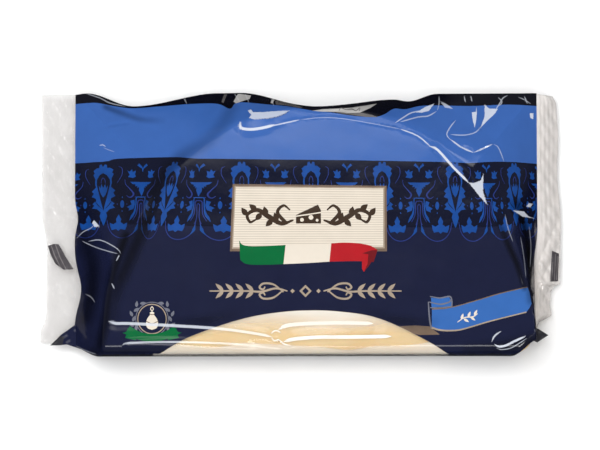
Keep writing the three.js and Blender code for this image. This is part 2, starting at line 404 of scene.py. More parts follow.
class Graph:
    """A node tree that is put together node by node."""

    def __init__(self, tree: NodeTree) -> None:
        """Starts with an empty tree."""
        self.tree = tree
        tree.nodes.clear()

    def node(self, kind: str, **inputs: object) -> Node:
        """Adds a node and sets or links the inputs that are named, with _ for a blank."""
        node = self.tree.nodes.new(kind)
        for name, value in inputs.items():
            self.feed(next(s for s in node.inputs if s.name == name.replace("_", " ") and s.enabled), value)
        return node

    def feed(self, socket: NodeSocket, value: object) -> None:
        """Links a socket to another one, or sets its value."""
        if isinstance(value, NodeSocket):
            self.tree.links.new(value, socket)
        else:
            socket.default_value = (*value, 1.0) if socket.type == "RGBA" else value

    def math(self, operation: str, *values: object) -> NodeSocket:
        """A sum of numbers or sockets."""
        node = self.tree.nodes.new("ShaderNodeMath")
        node.operation = operation
        for socket, value in zip(node.inputs, values):
            self.feed(socket, value)
        return node.outputs[0]


class Nodes(Graph):
    """A procedural material on the piece's own coordinates."""

    def __init__(self, name: str) -> None:
        """Starts an empty material."""
        self.material = bpy.data.materials.new(name)
        self.material.use_nodes = True
        super().__init__(self.material.node_tree)
        self.output = self.node("ShaderNodeOutputMaterial")
        self.place = self.node("ShaderNodeTexCoord").outputs["Object"]

    def noise(self, scale: float, detail: float = 2.0, stretch: tuple = (1.0, 1.0, 1.0)) -> NodeSocket:
        """Soft noise of that many features a metre, which may be drawn out along an axis."""
        mapping = self.node("ShaderNodeMapping", Vector=self.place, Scale=stretch)
        place = mapping.outputs[0]
        return self.node("ShaderNodeTexNoise", Vector=place, Scale=scale, Detail=detail).outputs[0]

    def attribute(self, name: str) -> NodeSocket:
        """A number that the mesh carries at each of its points."""
        node = self.tree.nodes.new("ShaderNodeAttribute")
        node.attribute_name = name
        return node.outputs["Fac"]

    def blend(self, factor: object, first: object, second: object) -> NodeSocket:
        """A mix of two colours."""
        node = self.tree.nodes.new("ShaderNodeMix")
        node.data_type = "RGBA"
        for number, value in ((0, factor), (6, first), (7, second)):
            self.feed(node.inputs[number], value)
        return node.outputs[2]

    def layers(self, factor: object, under: Node, over: Node) -> Node:
        """A mix of two shaders."""
        node = self.tree.nodes.new("ShaderNodeMixShader")
        for number, value in enumerate((factor, under.outputs[0], over.outputs[0])):
            self.feed(node.inputs[number], value)
        return node

    def spread(self, value: NodeSocket, low: float, high: float) -> NodeSocket:
        """Maps noise from its usual span to a span of values."""
        node = self.node("ShaderNodeMapRange", Value=value)
        for name, number in zip(("From Min", "From Max", "To Min", "To Max"), (*NOISE_SPAN, low, high)):
            node.inputs[name].default_value = number
        return node.outputs[0]

    def bump(self, height: NodeSocket, distance: float, under: object = None) -> NodeSocket:
        """A relief of that many metres, over another one."""
        node = self.node("ShaderNodeBump", Height=height, Distance=distance)
        if under is not None:
            self.feed(node.inputs["Normal"], under)
        return node.outputs[0]

    def finish(self, shader: Node) -> Material:
        """Shows a shader on the surface."""
        self.feed(self.output.inputs["Surface"], shader.outputs[0])
        return self.material


@dataclass(frozen=True)
class FilmRelief:
    """The slight unevenness of stretched film: broad ripples and a fine tremble, in metres."""

    ripples: float = 70.0
    ripple_depth: float = 0.00012
    tremble: float = 420.0
    tremble_depth: float = 0.00002

    def normal(self, nodes: Nodes) -> NodeSocket:
        """The bumped normal."""
        broad = nodes.bump(nodes.noise(self.ripples, 1.0), self.ripple_depth)
        return nodes.bump(nodes.noise(self.tremble, 3.0), self.tremble_depth, broad)


@dataclass(frozen=True)
class PrintInk:
    """Printing ink under a glossy laminate."""

    name: str
    colour: tuple
    mottle: float = 0.06
    gloss: float = 0.09
    # the pale colour of the painted highlights
    painted_highlight: tuple = (232, 238, 250)
    relief: FilmRelief = FilmRelief()

    def material(self) -> Material:
        """The finish, made once."""
        known = bpy.data.materials.get(self.name)
        if known:
            return known
        nodes = Nodes(self.name)
        full, painted_highlight = (np.array(linear(shade)) * PAPER_WHITE for shade in (self.colour, self.painted_highlight))
        tone = nodes.spread(nodes.noise(160.0, 4.0), 0.0, 1.0)
        colour = nodes.blend(tone, tuple(full * (1 - self.mottle)), tuple(full * (1 + self.mottle)))
        # painted shade: darkened towards black in the folds
        colour = nodes.blend(nodes.attribute(PAINTED_SHADE), colour, (0.0, 0.0, 0.0))
        # painted highlight: paled along creases and in dents
        colour = nodes.blend(nodes.attribute(PAINTED_HIGHLIGHT), colour, tuple(painted_highlight))
        rough = nodes.spread(nodes.noise(45.0, 2.0), *(self.gloss * share for share in GLOSS_SPAN))
        normal = self.relief.normal(nodes)
        shader = nodes.node("ShaderNodeBsdfPrincipled", Base_Color=colour, Roughness=rough, Normal=normal)
        shader.inputs["IOR"].default_value = FILM_INDEX
        return nodes.finish(shader)


@dataclass(frozen=True)
class ClearFilm:
    """Clear film: it lets the light through, shines, and is faintly milky where it is crimped. Rows of haze
    and painted highlights may make it milkier in places.
    """

    name: str
    haze: float
    milk: tuple
    gloss: float = 0.08
    shine: float = 0.045
    relief: FilmRelief = FilmRelief()
    rows: tuple = ()
    waver: float = 0.0025

    def material(self) -> Material:
        """The finish."""
        nodes = Nodes(self.name)
        normal = self.relief.normal(nodes)
        clear = nodes.node("ShaderNodeBsdfTransparent", Color=(1.0, 1.0, 1.0))
        milk = nodes.node("ShaderNodeBsdfDiffuse", Color=linear(self.milk), Normal=normal)
        cloud = nodes.spread(nodes.noise(130.0, 3.0), *(self.haze * share for share in HAZE_SPAN))
        if self.rows:
            # painted highlights along creases also make the window film milky
            cloud = nodes.math("MAXIMUM", nodes.math("ADD", cloud, self.by_row(nodes)), nodes.attribute(PAINTED_HIGHLIGHT))
        mirror = nodes.node(
            "ShaderNodeBsdfGlossy", Color=(1.0, 1.0, 1.0), Roughness=self.gloss, Normal=normal
        )
        facing = nodes.node("ShaderNodeLayerWeight", Normal=normal, Blend=0.5).outputs["Facing"]
        grazing = nodes.math("POWER", facing, GRAZING_POWER)
        shine = nodes.math("MULTIPLY_ADD", grazing, 1.0 - self.shine, self.shine)
        return nodes.finish(nodes.layers(shine, nodes.layers(cloud, clear, milk), mirror))

    def by_row(self, nodes: Nodes) -> NodeSocket:
        """The haze that changes from row to row of the film, with a wavering edge: (y, haze) pairs."""
        y = nodes.node("ShaderNodeSeparateXYZ", Vector=nodes.place).outputs["Y"]
        waver = nodes.spread(nodes.noise(60.0, 2.0, (0.4, 1.0, 1.0)), -self.waver, self.waver)
        low, high = (self.rows[end][0] * MM for end in (0, -1))
        moved = nodes.math("ADD", y, waver)
        span = nodes.node("ShaderNodeMapRange", Value=moved, From_Min=low, From_Max=high)
        ramp = nodes.node("ShaderNodeValToRGB", Fac=span.outputs[0])
        for row, haze in self.rows:
            share = (row * MM - low) / (high - low)
            stop = ramp.color_ramp.elements.new(share)
            stop.color = (haze, haze, haze, 1.0)
        ramp.color_ramp.elements.remove(ramp.color_ramp.elements[0])
        ramp.color_ramp.elements.remove(ramp.color_ramp.elements[-1])
        return ramp.outputs[0]


@dataclass(frozen=True)
class CheeseFinish:
    """Pale, moist, close-textured cheese with a faint drag of the knife."""

    body: tuple = (250, 225, 174)
    deep: tuple = (243, 208, 150)
    rough: tuple = (0.36, 0.55)
    glow: float = 0.35
    glow_radius: tuple = (1.0, 0.65, 0.35)
    glow_depth: float = 0.003

    def material(self) -> Material:
        """The finish."""
        nodes = Nodes("provolone")
        tone = nodes.spread(nodes.noise(60.0, 5.0), 0.0, 1.0)
        deep, body = (tuple(np.array(linear(shade)) * PAPER_WHITE) for shade in (self.deep, self.body))
        colour = nodes.blend(tone, deep, body)
        grain = nodes.bump(nodes.noise(900.0, 4.0), 0.00008)
        drag = nodes.bump(nodes.noise(500.0, 2.0, (0.05, 1.0, 1.0)), 0.00006, grain)
        rough = nodes.spread(nodes.noise(220.0, 3.0), *self.rough)
        shader = nodes.node("ShaderNodeBsdfPrincipled", Base_Color=colour, Roughness=rough, Normal=drag)
        shader.inputs["Subsurface Weight"].default_value = self.glow
        shader.inputs["Subsurface Radius"].default_value = self.glow_radius
        shader.inputs["Subsurface Scale"].default_value = self.glow_depth
        return nodes.finish(shader)


@dataclass(frozen=True)
class TableFinish:
    """A matt white table top with the faintest mottle."""

    low: float = 0.95
    high: float = 0.97
    rough: float = 0.6

    def material(self) -> Material:
        """The finish."""
        nodes = Nodes("table_white")
        colour = nodes.blend(nodes.spread(nodes.noise(30.0), 0.0, 1.0), (self.low,) * 3, (self.high,) * 3)
        grain = nodes.bump(nodes.noise(900.0), 0.00002)
        matt = nodes.node("ShaderNodeBsdfPrincipled", Base_Color=colour, Roughness=self.rough, Normal=grain)
        return nodes.finish(matt)


class Ink(Enum):
    """The printing inks."""

    NAVY = PrintInk("navy_print", (25, 30, 60))
    # painted shade: the navy as it looks in shade, printed over the long fold
    NIGHT = PrintInk("night_print", (9, 10, 24))
    FRIEZE_GROUND = PrintInk("frieze_ground_print", (13, 18, 43))
    BAND_BLUE = PrintInk("band_blue_print", (62, 107, 186), 0.03)
    ORNAMENT = PrintInk("ornament_blue_print", (22, 76, 156), 0.12)
    THREAD = PrintInk("ornament_thread_print", (40, 58, 130), 0.12)
    GOLD = PrintInk("gold_print", (176, 158, 138), 0.12, 0.2)
    BRONZE = PrintInk("bronze_print", (122, 101, 84), 0.15, 0.2)
    CREAM = PrintInk("cream_print", (246, 235, 218), 0.02)
    HAIRLINE = PrintInk("hairline_print", (214, 200, 184), 0.04)
    BROWN = PrintInk("brown_print", (66, 50, 38), 0.08)
    GREEN = PrintInk("green_print", (0, 110, 58), 0.05)
    WHITE = PrintInk("ribbon_white_print", (247, 236, 220), 0.02)
    RED = PrintInk("red_print", (190, 28, 38), 0.05)
    DARK_RED = PrintInk("ribbon_shade_print", (120, 24, 32), 0.08)
    RIBBON_BLUE = PrintInk("ribbon_blue_print", (58, 112, 190), 0.04)
    STEEL = PrintInk("steel_line_print", (120, 122, 136), 0.08)
    # painted reflections along the long fold, pale and grey
    SILVER = PrintInk("bare_edge_silver", (188, 186, 184), 0.15, 0.2)
    PEWTER = PrintInk("bare_edge_pewter", (96, 93, 94), 0.2, 0.2)
    EAR_TIP = PrintInk("ear_tip_print", (46, 46, 54), 0.2, 0.2)
    EYE_MARK = PrintInk("eye_mark_print", (84, 80, 84), 0.1, 0.2)
    EYE_MARK_LINE = PrintInk("eye_mark_line_print", (128, 123, 124), 0.1, 0.2)


# ---- Geometry Nodes ----


class Recipe(Graph):
    """A Geometry Nodes tree with named inputs. It is run once and leaves a plain mesh."""

    kinds = {int: "NodeSocketInt", float: "NodeSocketFloat"}

    def __init__(self, name: str) -> None:
        """Starts an empty tree."""
        super().__init__(bpy.data.node_groups.new(name, "GeometryNodeTree"))
        self.tree.interface.new_socket("Geometry", in_out="OUTPUT", socket_type="NodeSocketGeometry")
        self.entry = self.tree.nodes.new("NodeGroupInput")
        self.exit = self.tree.nodes.new("NodeGroupOutput")
        self.values: dict = {}

    def size(self, name: str, value: object) -> NodeSocket:
        """Adds a named input to the tree and keeps the value that the modifier gives it."""
        socket = self.tree.interface.new_socket(name, in_out="INPUT", socket_type=self.kinds[type(value)])
        self.values[socket.identifier] = value
        return next(out for out in self.entry.outputs if out.identifier == socket.identifier)

    def offset(self, **axes: object) -> NodeSocket:
        """A vector of the axes that are named."""
        return self.node("ShaderNodeCombineXYZ", **axes).outputs[0]

    def position(self) -> Node:
        """Each point's place, split into X, Y and Z."""
        place = self.node("GeometryNodeInputPosition").outputs[0]
        return self.node("ShaderNodeSeparateXYZ", Vector=place)

    def odd(self) -> NodeSocket:
        """1 on every second point, 0 on the others."""
        return self.math("MODULO", self.node("GeometryNodeInputIndex").outputs[0], 2.0)

    def stencil(self, source: Object) -> NodeSocket:
        """Another object's mesh, as an instance."""
        return self.node("GeometryNodeObjectInfo", Object=source, As_Instance=True).outputs["Geometry"]

    def run(self, geometry: NodeSocket, material: Material) -> Mesh:
        """Ends the tree in Realize Instances and Set Material, and evaluates it.

        Args:
            geometry: what the tree has made.
            material: the finish of all of it.

        Returns:
            A plain mesh.
        """
        real = self.node("GeometryNodeRealizeInstances", Geometry=geometry)
        dressed = self.node("GeometryNodeSetMaterial", Geometry=real.outputs[0], Material=material)
        self.tree.links.new(dressed.outputs[0], self.exit.inputs[0])
        host = new_object(self.tree.name, np.zeros((0, 3)), [], [])
        modifier = host.modifiers.new(self.tree.name, "NODES")
        modifier.node_group = self.tree
        for identifier, value in self.values.items():
            modifier[identifier] = value
        shown = host.evaluated_get(bpy.context.evaluated_depsgraph_get())
        mesh = bpy.data.meshes.new_from_object(shown)
        host.modifiers.remove(modifier)
        bpy.data.objects.remove(host)
        return mesh


def stamp(name: str, shapes: list) -> Object:
    """A flat stencil for Geometry Nodes: each outline is one face, with the number of its ink's layer.

    Args:
        name: the stencil's name.
        shapes: pairs of a layer number and an outline.

    Returns:
        The object. It is removed again once the tree has run.
    """
    verts, faces, start = [], [], 0
    for _, loop in shapes:
        verts.append(np.column_stack((loop, np.zeros(len(loop)))))
        faces.append(range(start, start + len(loop)))
        start += len(loop)
    piece = new_object(name, np.vstack(verts) / MM, faces, [])
    layer = piece.data.attributes.new("layer", "INT", "FACE")
    layer.data.foreach_set("value", [number for number, _ in shapes])
    return piece


def places(mesh: Mesh) -> Points:
    """A mesh's points as they are stored."""
    found = np.zeros(len(mesh.vertices) * 3)
    mesh.vertices.foreach_get("co", found)
    return found.reshape(-1, 3)


def outlines(mesh: Mesh) -> list:
    """The faces of a flat mesh as pairs of a layer number and an outline."""
    flat = places(mesh)[:, :2]
    layer = mesh.attributes.get("layer")
    numbers = [item.value for item in layer.data] if layer else [0] * len(mesh.polygons)
    return [(number, flat[list(face.vertices)]) for number, face in zip(numbers, mesh.polygons)]


@dataclass(frozen=True)
class Crimp:
    """Film pressed into even ribs by hot jaws. Geometry Nodes press it flat on the table."""

    name: str
    ribs: int
    depth: float
    across: int
    down: int

    def strip(self, material: Material) -> tuple:
        """Presses a strip.

        Args:
            material: its finish.

        Returns:
            (n, 3) points, with the shares across and along and the rib's height, and the faces.
        """
        recipe = Recipe(self.name)
        sheet = recipe.node(
            "GeometryNodeMeshGrid", Size_X=1.0, Size_Y=1.0,
            Vertices_X=recipe.size("Across", self.across), Vertices_Y=recipe.size("Down", self.down),
        )
        place = recipe.position()
        turns = recipe.math("MULTIPLY", place.outputs["X"], recipe.size("Ribs", float(self.ribs)))
        wave = recipe.math("SINE", recipe.math("MULTIPLY", turns, 2 * math.pi))
        lift = recipe.math("MULTIPLY", wave, recipe.size("Depth", self.depth / 2))
        offset = recipe.offset(Z=lift)
        pressed = recipe.node("GeometryNodeSetPosition", Geometry=sheet.outputs[0], Offset=offset)
        mesh = recipe.run(pressed.outputs[0], material)
        return places(mesh) + (0.5, 0.5, 0.0), [tuple(face.vertices) for face in mesh.polygons]


# ---- Form ----


@dataclass(frozen=True)
class Edge:
    """Rounding of a long edge: its reach inwards, its drop, and the most of the room that it takes."""

    width: float
    drop: float
    share: float

    def fall(self, off: Points, room: Points) -> Points:
        """How far the surface has dropped at a distance inside the edge."""
        t = np.clip(1.0 - off / self.width, 0.0, 1.0)
        drop = np.minimum(self.drop, self.share * np.maximum(room, 0.0))
        return drop * (1.0 - np.sqrt(1.0 - t * t))


@dataclass(frozen=True)
class Fold:
    """A soft main fold of the loose film, straight, fading towards both ends."""

    start: tuple
    end: tuple
    height: float
    width: float

    def relief(self, x: Points, y: Points) -> Points:
        """What the fold adds to the film's height."""
        t, off = to_segment(x, y, self.start, self.end)
        return self.height * np.exp(-((off / self.width) ** 2)) * (0.45 + 0.55 * np.sin(np.pi * t))


def near_box(points: Points, margin: float, x: Points, y: Points) -> Points:
    """The numbers of the places in the box round some points, with a margin."""
    low, high = points.min(axis=0) - margin, points.max(axis=0) + margin
    return np.flatnonzero((x > low[0]) & (x < high[0]) & (y > low[1]) & (y < high[1]))


@dataclass(frozen=True)
class Crease:
    """A rounded crease along a line: a ridge with flanks of that slope, or a valley where it is negative."""

    path: Points
    width: float
    slope: float
    ends: float = 0.25

    def press(self, x: Points, y: Points, height: Points) -> Points:
        """The film's height with the crease in it, which fades at both ends."""
        near = near_box(self.path, 1.2 * self.width, x, y)
        share, off = beside(self.path, x[near], y[near])
        wave = 1.0 + np.cos(math.pi * np.clip(np.abs(off) / self.width, 0.0, 1.0))
        fade = smooth(np.minimum(share, 1.0 - share) / self.ends + 0.15)
        pressed = height.copy()
        pressed[near] += self.slope * self.width / math.pi * wave * fade
        return pressed

    def rows(self, step: float = 0.7) -> Points:
        """Points on the crest, the flanks and the feet."""
        line = dense(self.path, step, closed=False)
        _, left = headings(line)
        return np.vstack([line + left * self.width * share for share in (-1.05, -0.5, 0.0, 0.5, 1.05)])


@dataclass(frozen=True)
class HighlightLine:
    """A painted highlight: a line along a crease where the print is painted pale."""

    path: Points
    width: float
    highlight_paint: float
    margin: float = 0.09

    def half(self, share: Points, taper: float = 3.0) -> Points:
        """Half the line's width, which narrows to nothing over its last millimetres."""
        length = np.linalg.norm(np.diff(self.path, axis=0), axis=1).sum()
        inward = np.minimum(share, 1.0 - share) * length / min(taper, 0.35 * length)
        return self.width / 2 * np.sin(math.pi / 2 * np.clip(inward, 0.0, 1.0))

    def press(self, x: Points, y: Points, height: Points) -> Points:
        """The film's height, which a painted highlight line doesn't change."""
        return height

    def painted_highlight(self, x: Points, y: Points) -> Points:
        """How strongly the painted highlight pales the print, 0 to 1."""
        share, off = beside(self.path, x, y)
        half = self.half(share)
        return self.highlight_paint * smooth(0.5 + (half - np.abs(off)) / (2 * self.margin)) * (half > 0.02)

    def rows(self, step: float = 0.55) -> Points:
        """Points just within and just outside the line's edges."""
        line = dense(self.path, step, closed=False)
        _, left = headings(line)
        half = self.half(np.linspace(0.0, 1.0, len(line)))
        inner, outer = np.maximum(half - self.margin, 0.3 * half), half + self.margin
        rows = [line] + [line + left * (off * side)[:, None] for off in (inner, outer) for side in (1, -1)]
        return np.vstack(rows)


@dataclass(frozen=True)
class Glint(HighlightLine):
    """A crease with a narrow flat, turned to mirror a light, and a painted highlight along it. The film comes
    gently back beside it.
    """

    levels: Points = None
    slopes: Points = None
    steps: Points = None
    back: float = 2.6

    def press(self, x: Points, y: Points, height: Points) -> Points:
        """The film's height with the crease in it."""
        near = near_box(self.path, self.width * (0.5 + self.back), x, y)
        pressed = height.copy()
        if len(near):
            share, off = beside(self.path, x[near], y[near])
            place = np.linspace(0.0, 1.0, len(self.path))
            away, half = np.abs(off), self.half(share)
            flat = np.interp(share, place, self.levels) + np.interp(share, place, self.slopes) * off
            step = np.where(off > 0.0, *(np.interp(share, place, steps) for steps in self.steps))
            fall = 1.0 - smooth((away - half) / (self.back * self.width))
            pressed[near] = np.where(away < half, flat, height[near] + step * fall)
        return pressed


@dataclass(frozen=True)
class Facet:
    """A flat dent with straight sides, turned to mirror a light, with a painted highlight over it."""

    corners: Points
    level: float
    tilt: Points
    highlight_paint: float
    rim: float = 0.14

    def press(self, x: Points, y: Points, height: Points) -> Points:
        """The film's height with the dent in it."""
        near = near_box(self.corners, 0.0, x, y)
        pressed = height.copy()
        if len(near):
            seen = np.column_stack((x[near], y[near]))
            sides = zip(self.corners, np.roll(self.corners, -1, axis=0))
            edge = np.min([to_segment(*seen.T, a, b)[1] for a, b in sides], axis=0)
            plane = self.level + (seen - self.corners.mean(axis=0)) @ self.tilt
            pressed[near] = mix(height[near], plane, smooth(edge / self.rim) * inside(seen, self.corners))
        return pressed

    def painted_highlight(self, x: Points, y: Points) -> Points:
        """How strongly the painted highlight pales the print in the dent, 0 to 1."""
        return self.highlight_paint * inside(np.column_stack((x, y)), self.corners)

    def rows(self, step: float = 0.4) -> Points:
        """Points close together within the dent, and rows just within and just outside its edge."""
        edge = dense(self.corners, step)
        _, left = headings(np.vstack((edge, edge[:1])))
        rows = [edge + left[:-1] * off for off in (self.rim + 0.02, -self.rim - 0.02, 0.03)]
        return np.vstack((patch(self.corners, step)[0], *rows))


def ripple_set(count: int = 9, size: float = 0.035, seed: int = 5) -> list:
    """Weak waves in all directions, from 9 to 32 mm long, as (height, kx, ky, turn)."""
    dice = np.random.default_rng(seed)
    waves = []
    for length in np.geomspace(32.0, 9.0, count):
        way, turn = dice.uniform(0.0, math.pi), dice.uniform(0.0, 2 * math.pi)
        pace = 2 * math.pi / length
        waves.append((size * length / 20.0, pace * math.cos(way), pace * math.sin(way), turn))
    return waves


@dataclass
class PackForm:
    """The closed pack's surface: where a point of the flat web comes to lie, in millimetres."""

    film_box: tuple
    cheese_box: tuple
    wall: float = 1.0
    crown: float = 0.35
    rear_fall: tuple = (20.0, 46.0, 0.5)
    side_bulge: float = 0.5
    edge_bend: float = 0.15
    left_root: float = -89.6
    right_root: float = 92.8
    left_waists: tuple = ((3.0, -26.0, 9.0), (1.4, 2.0, 5.0))
    right_step: tuple = (1.6, 2.0, 14.0)
    left_rise: float = 5.6
    right_rise: float = 10.6
    seam_gap: float = 0.3
    seam_climb: tuple = (-60, 90)
    side_run: float = 18.0
    back_run: float = 50.0
    lap_lift: float = 0.35
    lap_middle: float = -5.0
    cut_edge: Edge = Edge(7.5, 4.8, 0.45)
    fold_edge: Edge = Edge(5.0, 4.2, 0.4)
    back_edge: Edge = Edge(3.0, 2.2, 0.4)
    top_stations: tuple = (
        (-90, 51.6), (-85, 52.2), (-66.5, 46.9), (-33, 52.2), (-24, 52.3), (6, 45.6), (36.5, 49.2),
        (42, 48.4), (53.5, 51.5), (94, 51.6),
    )
    bottom_stations: tuple = ((-103, -46.6), (-93, -47), (-79, -52.3), (84, -52.1), (94, -45.9))
    folds: tuple = (
        Fold((-31, 48), (-52, 24), -0.4, 5), Fold((-86, 50), (-60, 36), -0.8, 4),
        Fold((-87, -3), (-72, -12), 0.9, 3.6), Fold((-87, -12), (-75, -22), -0.8, 3.8),
        Fold((36, 37), (54, 50), 0.5, 4), Fold((58, 36), (74, 26), 0.5, 4),
        Fold((70, 38), (82, 48), -0.5, 5), Fold((77, 5), (91, -2), 0.9, 3.6),
    )
    fine: list = field(default_factory=list)

    def __post_init__(self) -> None:
        """Takes the driving sizes from the two boxes."""
        (x0, y0, _), (x1, y1, self.height) = self.film_box
        self.length, self.width = x1 - x0, y1 - y0
        (cx0, self.cut_y, _), (cx1, top, _) = self.cheese_box
        self.slab_x = (cx0 + cx1) / 2
        self.slab_a = (cx1 - cx0) / 2 + self.wall
        self.slab_b = top - self.cut_y + self.wall
        self.waves = ripple_set()

    def left_line(self, y: Points) -> Points:
        """The left-hand end of the print, drawn in where the seal is waisted."""
        waist, notch = (depth * np.exp(-(((y - at) / half) ** 2)) for depth, at, half in self.left_waists)
        return self.left_root + waist + notch

    def right_line(self, y: Points) -> Points:
        """The right-hand end of the print."""
        depth, start, run = self.right_step
        return self.right_root - depth * smooth((-y - start) / run)

    def top_fold(self, x: Points) -> Points:
        """The outline's long fold on the round side."""
        return along(self.top_stations, x)

    def bottom_fold(self, x: Points) -> Points:
        """The outline along the straight side."""
        return along(self.bottom_stations, x)

    def seam_height(self, x: Points) -> Points:
        """Height of the flattened film at the seals and along the long fold."""
        low, high = self.seam_climb
        return mix(self.left_rise, self.right_rise, smooth((x - low) / (high - low)))

    def reach(self, x: Points, y: Points) -> Points:
        """0 over the slab, rising to 1 at the end seals and the long fold, along rays from its middle."""
        dx = np.where(np.abs(x - self.slab_x) < 1e-6, 1e-6, x - self.slab_x)
        dy = np.maximum(y - self.cut_y, 1e-6)
        to_slab = 1.0 / np.maximum(np.hypot(dx / self.slab_a, dy / self.slab_b), 1e-6)
        end = np.where(dx < 0.0, self.left_root, self.right_root)
        to_end, to_fold = np.abs((end - self.slab_x) / dx), (self.width / 2 - self.cut_y) / dy
        to_edge = np.minimum(to_end, to_fold)
        return np.clip((1.0 - to_slab) / np.maximum(to_edge - to_slab, 1e-6), 0.0, 1.0) * (to_slab < 1.0)

    def slope(self, r: Points) -> Points:
        """The film's fall beside the slab, 0 to 1: a rounded bend, then straight."""
        bend = self.edge_bend
        return (np.hypot(r, bend) - bend) / (math.hypot(1.0, bend) - bend)

    def front_height(self, x: Points, y: Points, fine: bool = True) -> Points:
        """Height of the front film.

        Args:
            x: the points' x.
            y: the points' y.
            fine: with the ripples, sharp creases and dents, or with the main folds alone.

        Returns:
            The height at each point.
        """
        r = self.reach(x, y)
        seam = self.seam_height(x) + self.seam_gap
        taut = mix(self.height - self.crown, seam, self.slope(r))
        swell = np.cos(math.pi * (x - self.slab_x) / (4.0 * self.slab_a)) ** 2
        relief = sum(fold.relief(x, y) for fold in self.folds) * smooth(r * 4.0) * smooth((1.0 - r) * 6.0)
        start, end, fall = self.rear_fall
        rear = fall * smooth((y - start) / (end - start))
        height = taut + (self.crown * swell - rear) * (1.0 - r) + relief
        cut_edge = self.cut_edge.fall(y - self.bottom_fold(x), height - seam)
        fold_edge = self.fold_edge.fall(self.top_fold(x) - y, height - seam)
        height = np.maximum(height - cut_edge - fold_edge, seam)
        if fine:
            ends = smooth((x - self.left_line(y)) / 2.5) * smooth((self.right_line(y) - x) / 2.5)
            waves = sum(size * np.sin(kx * x + ky * y + turn) for size, kx, ky, turn in self.waves)
            pressed = height + waves * (0.25 + 0.75 * smooth(r * 3.0))
            for piece in self.fine:
                pressed = piece.press(x, y, pressed)
            height = mix(height, pressed, ends)
        return height

    def back_height(self, x: Points, y: Points) -> Points:
        """Height of the back film: flat on the table, but for the room of the lap seam's flap."""
        r = self.reach(x, y)
        seam = self.seam_height(x) - self.seam_gap
        lifted = seam * r**1.6 + self.lap_lift * smooth(1.6 - np.abs(y - self.lap_middle) / 8.0)
        cut_edge = self.back_edge.fall(y - self.bottom_fold(x), seam - lifted)
        fold_edge = self.back_edge.fall(self.top_fold(x) - y, seam - lifted)
        return np.minimum(lifted + cut_edge + fold_edge, seam)

    def place(self, web: Points) -> Points:
        """Where points of the flat web lie on the pack.

        Args:
            web: (n, 2) points. The first number runs from seal to seal. The second is 0 at the cut
                side's fold and the pack's width at the long fold; past each it goes down the side,
                and then along the back to its middle.

        Returns:
            (n, 3) points in millimetres.
        """
        a, t = web[:, 0], web[:, 1]
        u = (a - self.left_root) / (self.right_root - self.left_root)
        past = np.where(t < 0.0, -t, np.maximum(t - self.width, 0.0))
        down = np.clip(past / self.side_run, 0.0, 1.0)
        under = np.clip((past - self.side_run) / self.back_run, 0.0, 1.0)
        low, high = self.fold_lines(a, u)
        y = mix(low, high, np.clip(t / self.width, 0.0, 1.0)) * (1.0 - under)
        x = mix(self.left_line(y), self.right_line(y), u)
        front, back = self.front_height(x, y), self.back_height(x, y)
        bulge = self.bulge(u) * np.sin(math.pi * down)
        return np.column_stack((x, y + np.where(t < 0.0, -bulge, bulge), mix(front, back, down)))

    def bulge(self, u: Points) -> Points:
        """How far the sides swell outwards, fading at both seals."""
        return self.side_bulge * smooth(12.0 * np.minimum(u, 1.0 - u))

    def fold_lines(self, a: Points, u: Points) -> tuple:
        """The two long outlines, drawn in by the swell of the sides."""
        return self.bottom_fold(a) + self.bulge(u), self.top_fold(a) - self.bulge(u)

    def flatten(self, seen: Points) -> Points:
        """The web's point under each point of the front, given as it is seen from straight above."""
        x, y = seen[:, 0], seen[:, 1]
        left, right = self.left_line(y), self.right_line(y)
        u = np.clip((x - left) / (right - left), 0.0, 1.0)
        a = mix(self.left_root, self.right_root, u)
        low, high = self.fold_lines(a, u)
        return np.column_stack((a, np.clip(self.width * (y - low) / (high - low), 0.0, self.width)))

    def normals(self, web: Points, step: float = 0.04) -> Points:
        """The surface's outward normals at points of the web."""
        ahead = self.place(web + (step, 0.0)) - self.place(web - (step, 0.0))
        aside = self.place(web + (0.0, step)) - self.place(web - (0.0, step))
        normal = np.cross(ahead, aside)
        return normal / np.maximum(np.linalg.norm(normal, axis=1), 1e-12)[:, None]

    def slopes(self, seen: Points, step: float = 0.4) -> Points:
        """The front's slopes in x and y at points that are given as seen from straight above."""
        x, y = seen.T
        across = self.front_height(x + step, y) - self.front_height(x - step, y)
        up = self.front_height(x, y + step) - self.front_height(x, y - step)
        return np.column_stack((across, up)) / (2 * step)


# ---- Studio ----


class Use(Enum):
    """What a soft box is for: the even light on everything, or the gleam on glossy film alone."""

    LIGHT = "light"
    GLEAM = "gleam"


@dataclass(frozen=True)
class SoftBox:
    """A rectangular soft light that faces the pack. A grid in front of it narrows its spread."""

    name: str
    azimuth: float
    elevation: float
    width: float
    height: float
    power: float
    use: Use = Use.GLEAM
    spread: float = 180.0
    distance: float = 1.5

    def direction(self) -> Points:
        """The unit vector from the pack to the light."""
        around, rise = math.radians(self.azimuth), math.radians(self.elevation)
        flat = math.cos(rise)
        return np.array((flat * math.cos(around), flat * math.sin(around), math.sin(rise)))

    def build(self) -> None:
        """Makes the light."""
        data = bpy.data.lights.new(self.name, "AREA")
        data.shape = "RECTANGLE"
        data.size, data.size_y, data.energy = self.width, self.height, self.power
        data.spread = math.radians(self.spread)
        lamp = bpy.data.objects.new(self.name, data)
        lamp.location = Vector(self.direction()) * self.distance
        lamp.rotation_euler = Vector(self.direction()).to_track_quat("Z", "Y").to_euler()
        lamp.visible_glossy = self.use is Use.GLEAM
        lamp.visible_diffuse = self.use is Use.LIGHT
        bpy.context.scene.collection.objects.link(lamp)


